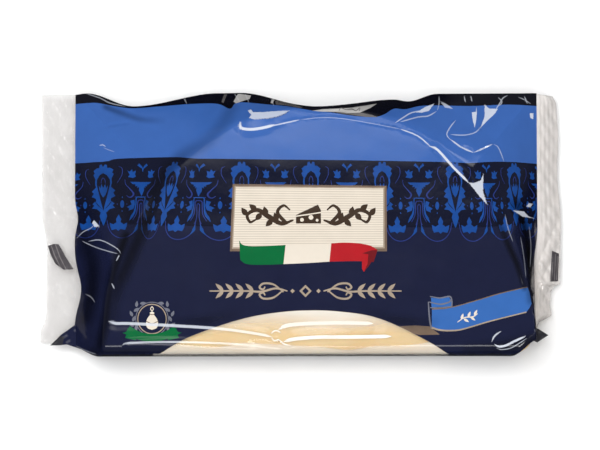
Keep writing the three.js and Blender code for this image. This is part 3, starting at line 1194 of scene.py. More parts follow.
@dataclass(frozen=True)
class Studio:
    """The white table, the soft lights and the camera nearly straight above."""

    elevation: float = 85.0
    distance: float = 1200.0
    view_width: float = 237.0
    aim: tuple = (0.0, 0.0, 6.0)
    middle: tuple = (301.5, 224.5)
    sensor: float = 36.0
    below: float = 0.02
    horizon: float = 0.2
    zenith: float = 0.14
    strips: tuple = (
        SoftBox("rear_right_strip", 60.0, 60.0, 0.3, 0.14, 0.4),
        SoftBox("rear_strip", 93.0, 60.0, 0.5, 0.12, 0.7),
        SoftBox("front_strip", 272.0, 46.0, 0.6, 0.16, 1.4),
        SoftBox("front_right_strip", 300.0, 40.0, 0.5, 0.12, 2.8),
        SoftBox("right_strip", 5.0, 36.0, 0.16, 0.12, 0.5),
        SoftBox("lower_right_strip", 331.0, 38.0, 0.4, 0.12, 2.3),
    )
    others: tuple = (
        SoftBox("veil_light", 90.0, 75.5, 0.52, 0.52, 0.0167, spread=18.0),
        SoftBox("main_light", 138.0, 70.0, 0.9, 0.9, 10.8, Use.LIGHT),
        SoftBox("top_light", 270.0, 84.0, 1.6, 1.6, 20.4, Use.LIGHT),
    )

    def camera_place(self) -> Points:
        """The camera's place, in millimetres."""
        tilt = math.radians(self.elevation)
        x, y, z = self.aim
        return np.array((x, y - self.distance * math.cos(tilt), z + self.distance * math.sin(tilt)))

    def touch(self, view: Points, form: PackForm) -> Points:
        """Where lines of sight meet the front film.

        Args:
            view: (n, 2) points in the camera's picture.
            form: the pack.

        Returns:
            (n, 2) points in millimetres, as they are seen from straight above.
        """
        z = np.full(len(view), form.height)
        for _ in range(SIGHT_ROUNDS):
            hit = self.sight(view, z)
            z = (z + form.front_height(hit[:, 0], hit[:, 1], fine=False)) / 2
        return hit

    def sight(self, view: Points, z: object) -> Points:
        """Where lines of sight through points of the picture cross a height."""
        eye, aim = self.camera_place(), np.array(self.aim)
        ahead = (aim - eye) / np.linalg.norm(aim - eye)
        side = np.array((1.0, 0.0, 0.0))
        up = np.cross(side, ahead)
        off = (np.asarray(view, float) - self.middle) * (self.view_width / VIEW[0] / self.distance)
        rays = ahead + off[:, :1] * side - off[:, 1:] * up
        return (eye + rays * ((z - eye[2]) / rays[:, 2])[:, None])[:, :2]

    def tilts(self) -> Points:
        """The slopes in x and y of a surface that mirrors each strip light to the camera."""
        to_eye = self.camera_place() / np.linalg.norm(self.camera_place())
        half = to_eye + np.array([strip.direction() for strip in self.strips])
        return -half[:, :2] / half[:, 2:]

    def build(self) -> None:
        """Makes the table, the camera, the soft boxes and the pale room around them."""
        table = new_object("table", *grid(2, 2, FLOOR_SIZE, FLOOR_SIZE), [TableFinish().material()])
        table.visible_glossy = False
        data = bpy.data.cameras.new("camera")
        data.sensor_width = self.sensor
        data.lens = self.sensor * self.distance / self.view_width
        data.clip_start, data.clip_end = 0.05, 50.0
        data.shift_x = (VIEW[0] / 2 - self.middle[0]) / VIEW[0]
        data.shift_y = (self.middle[1] - VIEW[1] / 2) / VIEW[0]
        camera = bpy.data.objects.new("camera", data)
        camera.location = Vector(self.camera_place()) * MM
        camera.rotation_euler = (math.radians(90.0 - self.elevation), 0.0, 0.0)
        bpy.context.scene.collection.objects.link(camera)
        bpy.context.scene.camera = camera
        for box in (*self.strips, *self.others):
            box.build()
        self.room()
        bpy.context.scene.view_settings.view_transform = "Standard"
        boxes = len(self.strips + self.others)
        log.info("studio: camera %.2f m away, %d soft boxes", self.distance * MM, boxes)

    def room(self) -> None:
        """The world: dim overhead, a little paler towards the horizon, and dark below it."""
        world = bpy.data.worlds.new("room")
        bpy.context.scene.world = world
        world.use_nodes = True
        tree = world.node_tree
        place = tree.nodes.new("ShaderNodeTexCoord")
        split = tree.nodes.new("ShaderNodeSeparateXYZ")
        ramp = tree.nodes.new("ShaderNodeValToRGB")
        tree.links.new(place.outputs["Generated"], split.inputs[0])
        tree.links.new(split.outputs["Z"], ramp.inputs["Fac"])
        stops = ((0.0, self.below), (0.25, self.horizon), (0.92, self.zenith))
        ramp.color_ramp.elements.new(0.5)
        for stop, (position, light) in zip(ramp.color_ramp.elements, stops):
            stop.position, stop.color = position, (light, light, light, 1.0)
        tree.links.new(ramp.outputs["Color"], tree.nodes["Background"].inputs["Color"])


# ---- Print ----


@dataclass(frozen=True)
class BlueBand:
    """The bright blue band along the round side."""

    top: tuple = (
        (70, 104.6), (90, 103), (100, 103.3), (129, 108.2), (160, 106.4), (190, 104), (217, 103.8),
        (230, 108.7), (238, 102.4), (265, 104.2), (288, 106.4), (315, 111), (330, 112.2), (350, 115.4),
        (373, 117.1), (384, 114.5), (394, 108.7), (406, 109.1), (425, 105.5), (470, 106), (509, 104.6),
        (540, 106.3),
    )
    bottom: tuple = (
        (540, 164), (512, 162), (491, 161.8), (470, 163), (437, 161.8), (330, 160), (200, 158.7),
        (176, 157.1), (119, 158.7), (105, 161.8), (70, 163.6),
    )

    def shapes(self) -> list:
        """The band."""
        return [(Ink.BAND_BLUE, np.vstack((curve(self.top), curve(self.bottom))))]

    def edge(self, x: Points) -> Points:
        """The picture height of the band's lower edge."""
        return along(self.bottom[::-1], x)


@dataclass(frozen=True)
class FoldReflections:
    """Painted reflections, pale and grey, which show here and there along the long fold."""

    pale_patches: tuple = (
        ((233.5, 101.6), (238, 93.6), (251, 95.6), (249.5, 99), (241, 101.6), (236, 103.4)),
        ((270.5, 102.8), (272.5, 98.2), (274.8, 98.8), (272.6, 103.5)),
        ((312, 110.8), (322, 109.2), (340, 108.4), (352, 107.6), (366, 105.4), (377, 103.6),
         (370, 108), (360, 112.6), (350, 112.9), (336, 111.9), (322, 111.6)),
    )
    grey_patches: tuple = (
        ((221.5, 102), (224, 94.5), (227, 94.5), (223.5, 103)),
        ((275, 100), (288, 102.6), (303, 107.2), (299, 107.8), (285, 105), (276, 104.5)),
        ((335, 112), (350, 113), (362, 112.9), (372, 115), (378, 117.2), (366, 117),
         (350, 114.4)),
    )
    wrinkle: tuple = (
        (339, 110.6), (341, 107.8), (346, 109.6), (352, 109), (356, 110.6), (360, 107.6), (359, 111.4),
    )

    def shapes(self) -> list:
        """The pale patches of painted reflection, with darker grey ones."""
        shapes = [(Ink.SILVER, np.array(loop)) for loop in self.pale_patches]
        shapes += [(Ink.PEWTER, np.array(loop)) for loop in self.grey_patches]
        return shapes + [(Ink.PEWTER, stroke(curve(self.wrinkle, 3), (0.25, 0.5, 0.25)))]


@dataclass(frozen=True)
class Frieze:
    """A damask border of palmettes and vases by turns. Geometry Nodes set them out at an even pitch.

    Then the run is drawn to where the film's folds carry each motif: a motif's middle is given at the
    border's top and at its foot.
    """

    pitch: float = 36.0
    depth: float = 81.3
    middles: tuple = (
        (67, 67), (103, 103.5), (143.4, 139.3), (176, 158), (199.5, 197), (242, 242), (275, 275),
        (311, 311), (347, 347), (382, 382), (419.1, 419.1), (455, 455.7), (486, 490), (514, 517), (538, 541),
    )
    top: tuple = ((70, 164), (105, 163), (120, 160.3), (200, 160), (440, 160), (515, 161.5), (540, 163))
    foot: tuple = (
        (70, 238), (120, 238.2), (175, 239.7), (218, 240.5), (400, 241.4), (470, 241.5), (540, 238),
    )

    def palmette(self) -> list:
        """A leafy palmette about u = 0, hanging down from v = 0."""
        leaf = (
            (0, 4.4), (-1.6, 1.6), (-3.4, 2.2), (-3.8, 5.6), (-6.2, 5.8), (-9.4, 8.6), (-8.2, 11.4),
            (-9.6, 13.2), (-7.7, 17.6), (-8, 22), (-7.2, 26.4), (-11.2, 31), (-9.3, 33.2), (-11.4, 36.8),
            (-7.4, 38.6), (-7, 41), (-10.7, 44.5), (-8.9, 46.3), (-11.2, 49.2), (-6.2, 50), (-2.6, 53.6),
            (-3.7, 57.4), (-2.4, 61.9), (-0.9, 66), (0, 68),
        )
        hollow = ((0, 10.8), (-3.4, 13.2), (-6.2, 18.6), (-6.4, 23), (-5.2, 29), (-2.6, 40.5), (0, 52))
        bud = ((0, 27), (-1.9, 22.6), (-2.7, 27.6), (-4.4, 24.2), (-3.6, 30), (-2, 34.5), (0, 37.4))
        arch = curve(((-2, 22), (-1.6, 18.4), (0, 16.2), (1.6, 18.4), (2, 22)))
        curl = curve(((14.2, 6.4), (17, 8.2), (17.4, 13.8), (15.6, 18.6), (12.8, 23.4)))
        slit = curve(((-1.2, 50), (-5.4, 45.4), (-8.2, 41)))
        shapes = [(0, mirrored(leaf)), (1, mirrored(hollow)), (0, mirrored(bud))]
        shapes.append((2, stroke(arch, (0.3, 0.4, 0.3))))
        for side in (1, -1):
            shapes.append((2, stroke(curl * (side, 1.0), (0.15, 0.38, 0.3, 0.15))))
            shapes.append((1, stroke(slit * (side, 1.0), (0.1, 0.45, 0.15))))
        return shapes

    def vase(self) -> list:
        """A footed vase with scrolls, and the loops, lilies and beads on both its sides."""
        sprig = ((0, 12.4), (-1, 8.6), (-5.2, 5.4), (-3.6, 3.4), (-0.9, 6.4), (0, 8.4))
        fan = (
            (0, 22.6), (-11.2, 22.4), (-8.8, 24.6), (-6, 25.2), (-6.4, 27), (-4.2, 26.6), (-4.4, 29),
            (-2.7, 27.6), (-2.7, 31.4), (-1.4, 34.2), (0, 37.2),
        )
        maple = (
            (-14, 10.6), (-11.9, 11.8), (-9.8, 9.4), (-9.2, 12), (-6.2, 10.8), (-7, 14.2), (-6.2, 17),
            (-8.4, 18.4), (-13.2, 17.4), (-11.8, 14.9),
        )
        lobe = (
            (-6.6, 41), (-10.4, 42.2), (-9, 46), (-13.6, 48.6), (-11.4, 50), (-11.6, 52.4), (-7.2, 50.6),
            (-5.9, 46),
        )
        lily = (
            (0, 56.4), (-2.6, 61.4), (-1.9, 64.4), (-5, 66.6), (-8.6, 64.8), (-8, 69), (-6.6, 72.6),
            (-2.2, 71.6), (0, 73.6),
        )
        scroll = curve(((-16.1, 20), (-15, 25.2), (-10.6, 30.4), (-7.7, 34.4), (-8.8, 37.6), (-11.6, 38.4),
                        (-14.2, 36.6)))
        outer = curve(((0, 38.2), (-4.6, 38.6), (-5, 45), (-6, 53.6), (-8.6, 58.8), (-10.6, 62.6)))
        middle = curve(((0, 41), (-3.1, 42.4), (-3.5, 50), (-4.4, 56), (-7.4, 62)))
        inner = curve(((0, 44), (-1.3, 46.4), (-1, 56), (-1.9, 61.9), (-3, 65)))
        loop = curve(
            ((-1.6, 60), (-2.6, 67), (-4.6, 73), (-10.7, 78.9), (-18, 81.1), (-25, 78.7), (-30.2, 72),
             (-32.6, 62))
        )
        lines = (
            (2, scroll, (0.2, 0.4, 0.8, 0.6, 0.25)), (0, outer, (0.4, 0.5, 0.6, 1.3, 0.2)),
            (2, middle, (0.35, 0.45, 0.4, 0.3)), (2, inner, (0.3, 0.4, 0.35, 0.5)),
            (2, loop, (0.3, 0.45, 0.45, 0.45, 0.4, 0.3)), (0, loop[4:13], (0.2, 1.5, 0.3)),
        )
        beads = (
            (0, -18.0, 45.6, (1.9, 4), 14), (0, -18.0, 38.6, (0.5, 0.9), 8), (0, -18.0, 53.0, (0.5, 0.9), 8),
            (2, -13.6, 45.6, (0.6, 0.6), 8), (2, -22.6, 45.6, (0.6, 0.6), 8),
        )
        shapes = [(0, mirrored(sprig)), (0, mirrored(fan))]
        shapes.append((2, stroke(((-6.2, 38.1), (0, 38), (6.2, 38.1)), (0.3, 0.45, 0.3))))
        for side in (1, -1):
            flip = np.array((side, 1.0))
            shapes += [(0, np.array(maple) * flip), (0, np.array(lobe) * flip)]
            shapes += [(layer, stroke(line * flip, widths)) for layer, line, widths in lines]
            shapes.append((0, mirrored(lily) + flip * (-21.2, 0)))
            shapes += [(layer, oval((u * side, v), radii, count)) for layer, u, v, radii, count in beads]
        return shapes

    def shapes(self) -> list:
        """The whole border."""
        recipe = Recipe("frieze_run")
        stamps = [stamp("vase_stamp", self.vase()), stamp("palmette_stamp", self.palmette())]
        choice = recipe.node("GeometryNodeJoinGeometry")
        for source in reversed(stamps):
            recipe.tree.links.new(recipe.stencil(source), choice.inputs[0])
        offset = recipe.offset(X=recipe.size("Pitch", self.pitch))
        count = recipe.size("Motifs", len(self.middles))
        line = recipe.node("GeometryNodeMeshLine", Count=count, Offset=offset)
        run = recipe.node(
            "GeometryNodeInstanceOnPoints", Points=line.outputs[0], Instance=choice.outputs[0],
            Pick_Instance=True, Instance_Index=recipe.odd(),
        )
        mesh = recipe.run(run.outputs[0], Ink.ORNAMENT.value.material())
        inks = (Ink.ORNAMENT, Ink.FRIEZE_GROUND, Ink.THREAD)
        found = [(inks[number], self.drawn(dense(loop, 2.2))) for number, loop in outlines(mesh)]
        for source in stamps:
            bpy.data.objects.remove(source)
        return [(Ink.FRIEZE_GROUND, self.ground())] + found

    def ground(self) -> Points:
        """The darker ground behind the border."""
        x = np.linspace(70.0, 540.0, 60)
        foot = np.column_stack((x, along(self.foot, x) - 14.0))
        return np.vstack((np.column_stack((x, BlueBand().edge(x))), foot[::-1]))

    def drawn(self, loop: Points) -> Points:
        """Moves an outline from the even run to its place in the picture."""
        steps, share = loop[:, 0] / self.pitch, loop[:, 1] / self.depth
        whole = np.arange(len(self.middles))
        tops, feet = np.array(self.middles, float).T
        x = mix(np.interp(steps, whole, tops), np.interp(steps, whole, feet), share)
        return np.column_stack((x, mix(along(self.top, x), along(self.foot, x), share)))


@dataclass(frozen=True)
class LabelPlate:
    """The cream plate with its gold frame and hairlines. A plain flourish stands on it."""

    frame: tuple = ((232.7, 183.9), (386.6, 185.8), (387, 251.3), (230, 251.3))
    panel: tuple = ((235.8, 187.2), (383.2, 188.6), (383.2, 246.6), (233.1, 247.2))
    centre: tuple = (308.5, 215)
    lines: int = 25
    line_share: float = 0.28
    gold_share: float = 0.62

    def shapes(self) -> list:
        """The plate, its hairlines, and the flourish."""
        frame, panel = np.array(self.frame), np.array(self.panel)
        shapes = [(Ink.BRONZE, frame), (Ink.GOLD, mix(frame, panel, self.gold_share)), (Ink.CREAM, panel)]
        recipe = Recipe("label_hairlines")
        pace = recipe.offset(Y=recipe.size("Pitch", 1.0 / self.lines))
        row = recipe.node("GeometryNodeMeshLine", Count=recipe.size("Lines", self.lines), Offset=pace)
        bar = recipe.node(
            "GeometryNodeMeshGrid", Size_X=recipe.size("Length", 1.0),
            Size_Y=recipe.size("Thickness", self.line_share / self.lines), Vertices_X=2, Vertices_Y=2,
        )
        run = recipe.node("GeometryNodeInstanceOnPoints", Points=row.outputs[0], Instance=bar.outputs[0])
        mesh = recipe.run(run.outputs[0], Ink.HAIRLINE.value.material())
        for _, loop in outlines(mesh):
            shapes.append((Ink.HAIRLINE, self.on_panel(loop + (0.5, 0.5 / self.lines))))
        return shapes + self.flourish()

    def on_panel(self, loop: Points) -> Points:
        """Moves an outline from a unit square onto the panel."""
        a, b, c, d = np.array(self.panel)
        u, v = loop[:, :1], loop[:, 1:]
        return mix(mix(a, b, u), mix(d, c, u), v)

    def flourish(self) -> list:
        """A symmetrical flourish of scrolls and leaves about a small wedge of cheese."""
        loops = [np.array(((-12.5, 8.5), (-12.5, 0), (9.5, -10.5), (12.5, -4.5), (12.5, 8.5)))]
        stem = curve(((15, 5), (27, 8.5), (40, 1.5), (51, -5), (61, -0.5), (58.5, 7), (52.5, 4.5)), 6)
        twig = curve(((22, 8.5), (31, -2.5), (25, -9.5), (18.5, -5)), 5)
        leaves = (
            (31, 6.4, -70), (36, 4.6, 45), (42, 0.6, -75), (47, -1.8, 50), (52, -4.6, -40), (61.5, 0.5, -55),
        )
        for flip in ((1, 1), (-1, 1)):
            loops.append(stroke(stem, (0.8, 2.2, 2.6, 2.0, 1.6, 1.4, 0.8)) * flip)
            loops.append(stroke(twig, (1.9, 1.8, 1.3, 0.7)) * flip)
            loops += [(leaf_shape(9.6, 2.9, math.radians(turn)) + (u, v)) * flip for u, v, turn in leaves]
        found = [(Ink.BROWN, loop + self.centre) for loop in loops]
        found.append((Ink.CREAM, stroke(((-12.5, 1.2), (0, -0.6), (12.6, -2.6)), (0.6, 0.6)) + self.centre))
        for u, v, radius in ((-6.5, 4.8, 1.9), (2.5, 2.4, 2.4), (8.6, 5.2, 1.4)):
            found.append((Ink.CREAM, oval((u, v), (radius, radius), 14) + self.centre))
        return found


@dataclass(frozen=True)
class TricolourRibbon:
    """The waving green, white and red ribbon under the plate."""

    top: tuple = (
        (239.2, 240.3), (242.5, 244.6), (251.4, 246.2), (267.6, 245.9), (286, 245), (308.2, 244.5),
        (331.2, 243.3), (343.3, 242.6), (358.2, 243.2), (370.4, 245.7), (377.6, 249.9),
    )
    foot: tuple = (
        (373.6, 262), (360, 261.2), (348.7, 261.2), (329.1, 261.7), (308.2, 263), (283.2, 264.1),
        (267.6, 264.7), (251.4, 264.6), (244.6, 263.2), (240.3, 259.9),
    )
    green_cut: tuple = ((286.4, 238), (282.8, 270))
    red_cut: tuple = ((331.8, 238), (328.6, 270))
    shade: tuple = ((362, 253.3), (371, 250.4), (377.6, 249.9), (373.6, 262), (362, 261.2))
    tail: tuple = (
        (377.6, 249.9), (373.9, 258.4), (368.2, 266.8), (363.9, 272), (362, 268.7), (362, 253.3),
        (368.4, 254.4),
    )
    lining: tuple = ((362, 253.3), (368.4, 254.4), (367.4, 264), (363.9, 272), (362, 268.7))

    def shapes(self) -> list:
        """The ribbon in its three colours, and its folded tail."""
        whole = np.vstack((curve(self.top), curve(self.foot)))
        return [
            (Ink.WHITE, whole),
            (Ink.GREEN, clip_half(whole, *self.green_cut, left=True)),
            (Ink.RED, clip_half(whole, *self.red_cut, left=False)),
            (Ink.DARK_RED, np.array(self.shade)),
            (Ink.DARK_RED, np.array(self.tail)),
            (Ink.RED, np.array(self.lining)),
        ]


@dataclass(frozen=True)
class TitleRule:
    """A plain gold ornament across the middle: two tapering rules, a lozenge and small leaves."""

    centre: tuple = (305.5, 291)
    reach: float = 96.0

    def shapes(self) -> list:
        """The ornament."""
        loops = [oval((0, 0), (6.2, 6.2), 4), oval((-13, 0), (2.2, 2.2), 4), oval((13, 0), (2.2, 2.2), 4)]
        rule = curve(((18, 0), (30, -2.6), (44, 0.6), (60, 0), (self.reach, 0.0)), 6)
        curl = curve(((22, -1), (32, 6.5), (42, 7.5), (46, 3.6), (42.4, 1.6), (40.4, 4.4)), 6)
        for flip in ((1, 1), (-1, 1)):
            for line in (rule, curl, curl * (1, -1)):
                loops.append(stroke(line, (0.6, 1.0, 1.0, 0.9, 0.6)) * flip)
            for u in (52.0, 62.0, 72.0, 82.0):
                loops += [(leaf_shape(11.0, 1.9, turn) + (u, 0.0)) * flip for turn in (0.75, -0.75)]
        heart = (Ink.NAVY, oval(self.centre, (3.4, 3.4), 4))
        return [*((Ink.GOLD, loop + self.centre) for loop in loops), heart]


@dataclass(frozen=True)
class Emblem:
    """A round seal with a pear-shaped cheese, a wreath that Geometry Nodes set out, and a green ribbon."""

    centre: tuple = (152, 319)
    leaves: int = 8
    leaf_length: float = 6.4
    leaf_half: float = 1.5
    wreath: float = 19.6
    sweep: float = 104.0
    lean: float = 1.1

    def shapes(self) -> list:
        """The emblem."""
        shapes = self.wreath_leaves()
        for radius, ink in ((17.2, Ink.STEEL), (16.4, Ink.NAVY), (15.2, Ink.GOLD), (14.2, Ink.NAVY)):
            shapes.append((ink, oval((0, 0), (radius * 0.97, radius), 40)))
        pear = curve(((0, -7.4), (-2.2, -6.4), (-2, -4.2), (-4.6, -0.6), (-6, 4.2), (-4.6, 9), (0, 10.8)), 4)
        shapes.append((Ink.CREAM, mirrored(pear)))
        for line in (((0, -12.6), (-1.4, -10.2), (0, -7.6)), ((0, -12.6), (1.4, -10.2), (0, -7.6))):
            shapes.append((Ink.CREAM, stroke(curve(line), (0.4, 0.4))))
        for line in (((-2.2, -4.9), (0, -4.3), (2.2, -4.9)), ((-5.6, 2.4), (0, 4.6), (5.6, 2.4))):
            shapes.append((Ink.BRONZE, stroke(curve(line), (0.4, 0.4))))
        tail = np.array(
            ((29.6, 13.8), (25.4, 15.6), (27, 18.8), (16, 21.4), (15, 12), (24.6, 9.2), (24, 12.6))
        )
        shapes += [(Ink.GREEN, tail * flip) for flip in ((1, 1), (-1, 1))]
        ribbon = curve(((-24, 10), (-13, 16.6), (0, 18.8), (13, 16.6), (24, 10)), 6)
        shapes.append((Ink.GREEN, stroke(ribbon, (3.4, 3.9, 4.0, 3.9, 3.4))))
        return [(ink, loop + self.centre) for ink, loop in shapes]

    def wreath_leaves(self) -> list:
        """Leaves along both sides of the ring."""
        recipe = Recipe("wreath_run")
        source = stamp("leaf_stamp", [(0, leaf_shape(self.leaf_length, self.leaf_half, 0.0))])
        arc = recipe.node(
            "GeometryNodeCurveArc", Resolution=48, Radius=recipe.size("Radius", self.wreath),
            Start_Angle=math.radians(-self.sweep / 2), Sweep_Angle=math.radians(self.sweep),
        )
        count = recipe.size("Leaves", self.leaves)
        dots = recipe.node("GeometryNodeCurveToPoints", Curve=arc.outputs[0], Count=count)
        place = recipe.position()
        way = recipe.math("ARCTAN2", place.outputs["Y"], place.outputs["X"])
        side = recipe.math("SUBTRACT", recipe.odd(), 0.5)
        lean = recipe.math("MULTIPLY", side, recipe.size("Lean", self.lean))
        turn = recipe.math("ADD", recipe.math("SUBTRACT", way, math.pi / 2), lean)
        run = recipe.node(
            "GeometryNodeInstanceOnPoints", Points=dots.outputs[0], Instance=recipe.stencil(source),
            Rotation=recipe.offset(Z=turn),
        )
        mesh = recipe.run(run.outputs[0], Ink.STEEL.value.material())
        bpy.data.objects.remove(source)
        return [(Ink.STEEL, loop * flip) for _, loop in outlines(mesh) for flip in ((1, 1), (-1, 1))]


@dataclass(frozen=True)
class BlueRibbon:
    """The blue ribbon at the lower right, with its gold edge, its folded loop and its shade."""

    band: tuple = (
        (432, 309.1), (443.4, 308.6), (451.8, 307.1), (459.2, 305.4), (479, 299.7), (498.7, 293.8),
        (521.5, 288.3), (527.4, 287.2), (529.4, 291.8), (531.6, 303.7), (529.4, 308), (526.4, 312.1),
        (508.6, 316.5), (488.9, 321.5), (469.1, 327.4), (459.2, 329.9), (449.3, 330.6), (439.4, 329.9),
        (431.8, 327.6),
    )
    shade: tuple = (
        (399.4, 326.2), (414.7, 325.4), (430, 326.4), (434, 330), (440, 334.6), (420, 335), (410, 333.2),
    )
    middle: tuple = (467.5, 317.5)
    lean: float = -0.3
    left_line: tuple = ((428.4, 301.7), (429, 312), (430, 322), (431.6, 328.6))
    loop_fill: tuple = (
        (431, 297.6), (440, 298.8), (449, 297.2), (451.4, 301), (451.6, 306.6), (431.6, 307.2),
    )
    loop_lines: tuple = (
        ((430, 296.4), (440, 298), (449.4, 296.4), (451.8, 300.4), (451.8, 306.8)),
        ((429, 302), (440, 304.2), (449, 302.2), (451, 299.6)),
        ((430.2, 307.6), (440, 308), (451.8, 306.4)),
    )

    def shapes(self) -> list:
        """The ribbon."""
        band = np.array(self.band)
        shapes = [(Ink.BRONZE, np.array(self.shade)), (Ink.RIBBON_BLUE, np.array(self.loop_fill))]
        shapes += [(Ink.STEEL, stroke(curve(line), (0.5, 0.8, 0.6))) for line in self.loop_lines]
        shapes.append((Ink.RIBBON_BLUE, band))
        shapes.append((Ink.STEEL, stroke(curve(self.left_line), (0.5, 0.8, 0.8))))
        shapes.append((Ink.BRONZE, stroke(curve(band[:8]), (0.5, 0.5))))
        shapes.append((Ink.GOLD, stroke(curve(band[11:]), (0.6, 0.7, 0.9))))
        return shapes + self.sprig()

    def sprig(self) -> list:
        """A small white leafy sprig in the ribbon's middle."""
        loops = [stroke(curve(((-11, 1.5), (-3, -0.8), (5, 0.8), (11, -0.6))), (0.35, 0.6, 0.35))]
        for u, turn in ((-6.5, -55), (-4, 50), (0.5, -50), (3, 55), (7, -45)):
            loops.append(leaf_shape(6.4, 1.3, math.radians(turn)) + (u, 0.0))
        c, s = math.cos(self.lean), math.sin(self.lean)
        return [(Ink.WHITE, loop @ np.array(((c, s), (-s, c))) + self.middle) for loop in loops]


@dataclass(frozen=True)
class PaintedFoldShade:
    """Painted shade: the print is darkened towards the folds, where shade falls, along soft lines of (half
    width, strengths, path).
    """

    lines: tuple = (
        (5.0, (0.25, 0.3, 0.45, 0.6, 0.75, 0.7, 0.3), ((231, 108), *LEFT_SHOULDER)),
        (5.5, (0.55, 0.65, 0.7, 0.6), ((84, 240), (92, 264), (92, 290), (86, 318))),
        (3.6, (0.85, 0.8, 0.7, 0.75, 0.7), ((126, 236), (117, 262), (110, 290), (106, 318), (100, 345))),
        (4.0, (0.5, 0.5, 0.3), ((96, 353), (130, 353), (160, 352))),
        (2.2, (0.5, 0.8, 0.8, 0.6), ((499, 222), (507, 242), (517, 264), (525, 288))),
        (3.6, (0.6, 0.85, 0.95, 0.9, 0.5), ((518, 204), (524, 226), (528, 250), (531, 276), (532, 300))),
        (5.0, (0.3, 0.5, 0.7), ((470, 350), (500, 348), (530, 342))),
        (3.5, (0.1, 0.4, 0.1), ((165, 321), (200, 321), (240, 314))),
        (3.5, (0.1, 0.4, 0.1), ((370, 314), (400, 321), (432, 322))),
        (6.0, (0.1, 0.3, 0.3, 0.1), ((96, 170), (118, 195), (130, 220), (126, 245))),
        (2.4, (0.5, 0.4, 0.35, 0.1), ((106, 107), (122, 113), (140, 119), (162, 121))),
    )

    def at(self, studio: Studio, form: PackForm, points: Points) -> Points:
        """How much painted shade darkens the print at points that are given as seen from straight above."""
        depth = np.zeros(len(points))
        for width, strengths, path in self.lines:
            share, off = beside(studio.touch(curve(path, 4), form), *points.T)
            strength = np.interp(share, np.linspace(0.0, 1.0, len(strengths)), strengths)
            depth = np.maximum(depth, strength * (1.0 - smooth(np.abs(off) / width)))
        return depth


@dataclass(frozen=True)
class Window:
    """The clear half-moon along the cut side, which goes on down the side."""

    arc: tuple = (
        (152.8, 357.8), (163, 352), (174.5, 344.9), (190, 336.9), (216, 327.2), (237, 320.6), (259, 315.4),
        (285, 311.8), (306, 310.6), (330, 310.9), (360.5, 314.2), (380, 319), (401, 327.6), (426, 340.4),
        (437.5, 347.2), (448.5, 354.6),
    )
    sill: float = -15.0

    def outline(self, studio: Studio, form: PackForm) -> Points:
        """The clear part of the web."""
        web = form.flatten(studio.touch(curve(self.arc, 8), form))
        first, last = web[0, 0], web[-1, 0]
        foot = np.array(((last, 0.0), (last, self.sill), (first, self.sill), (first, 0.0)))
        return dense(np.vstack((web[1:-1], foot)), 1.0)

    def shapes(self) -> list:
        """The pale line along the window's edge."""
        return [(Ink.GOLD, stroke(curve(self.arc, 8)[1:-1], (0.28, 0.28)))]


# ---- Creases ----


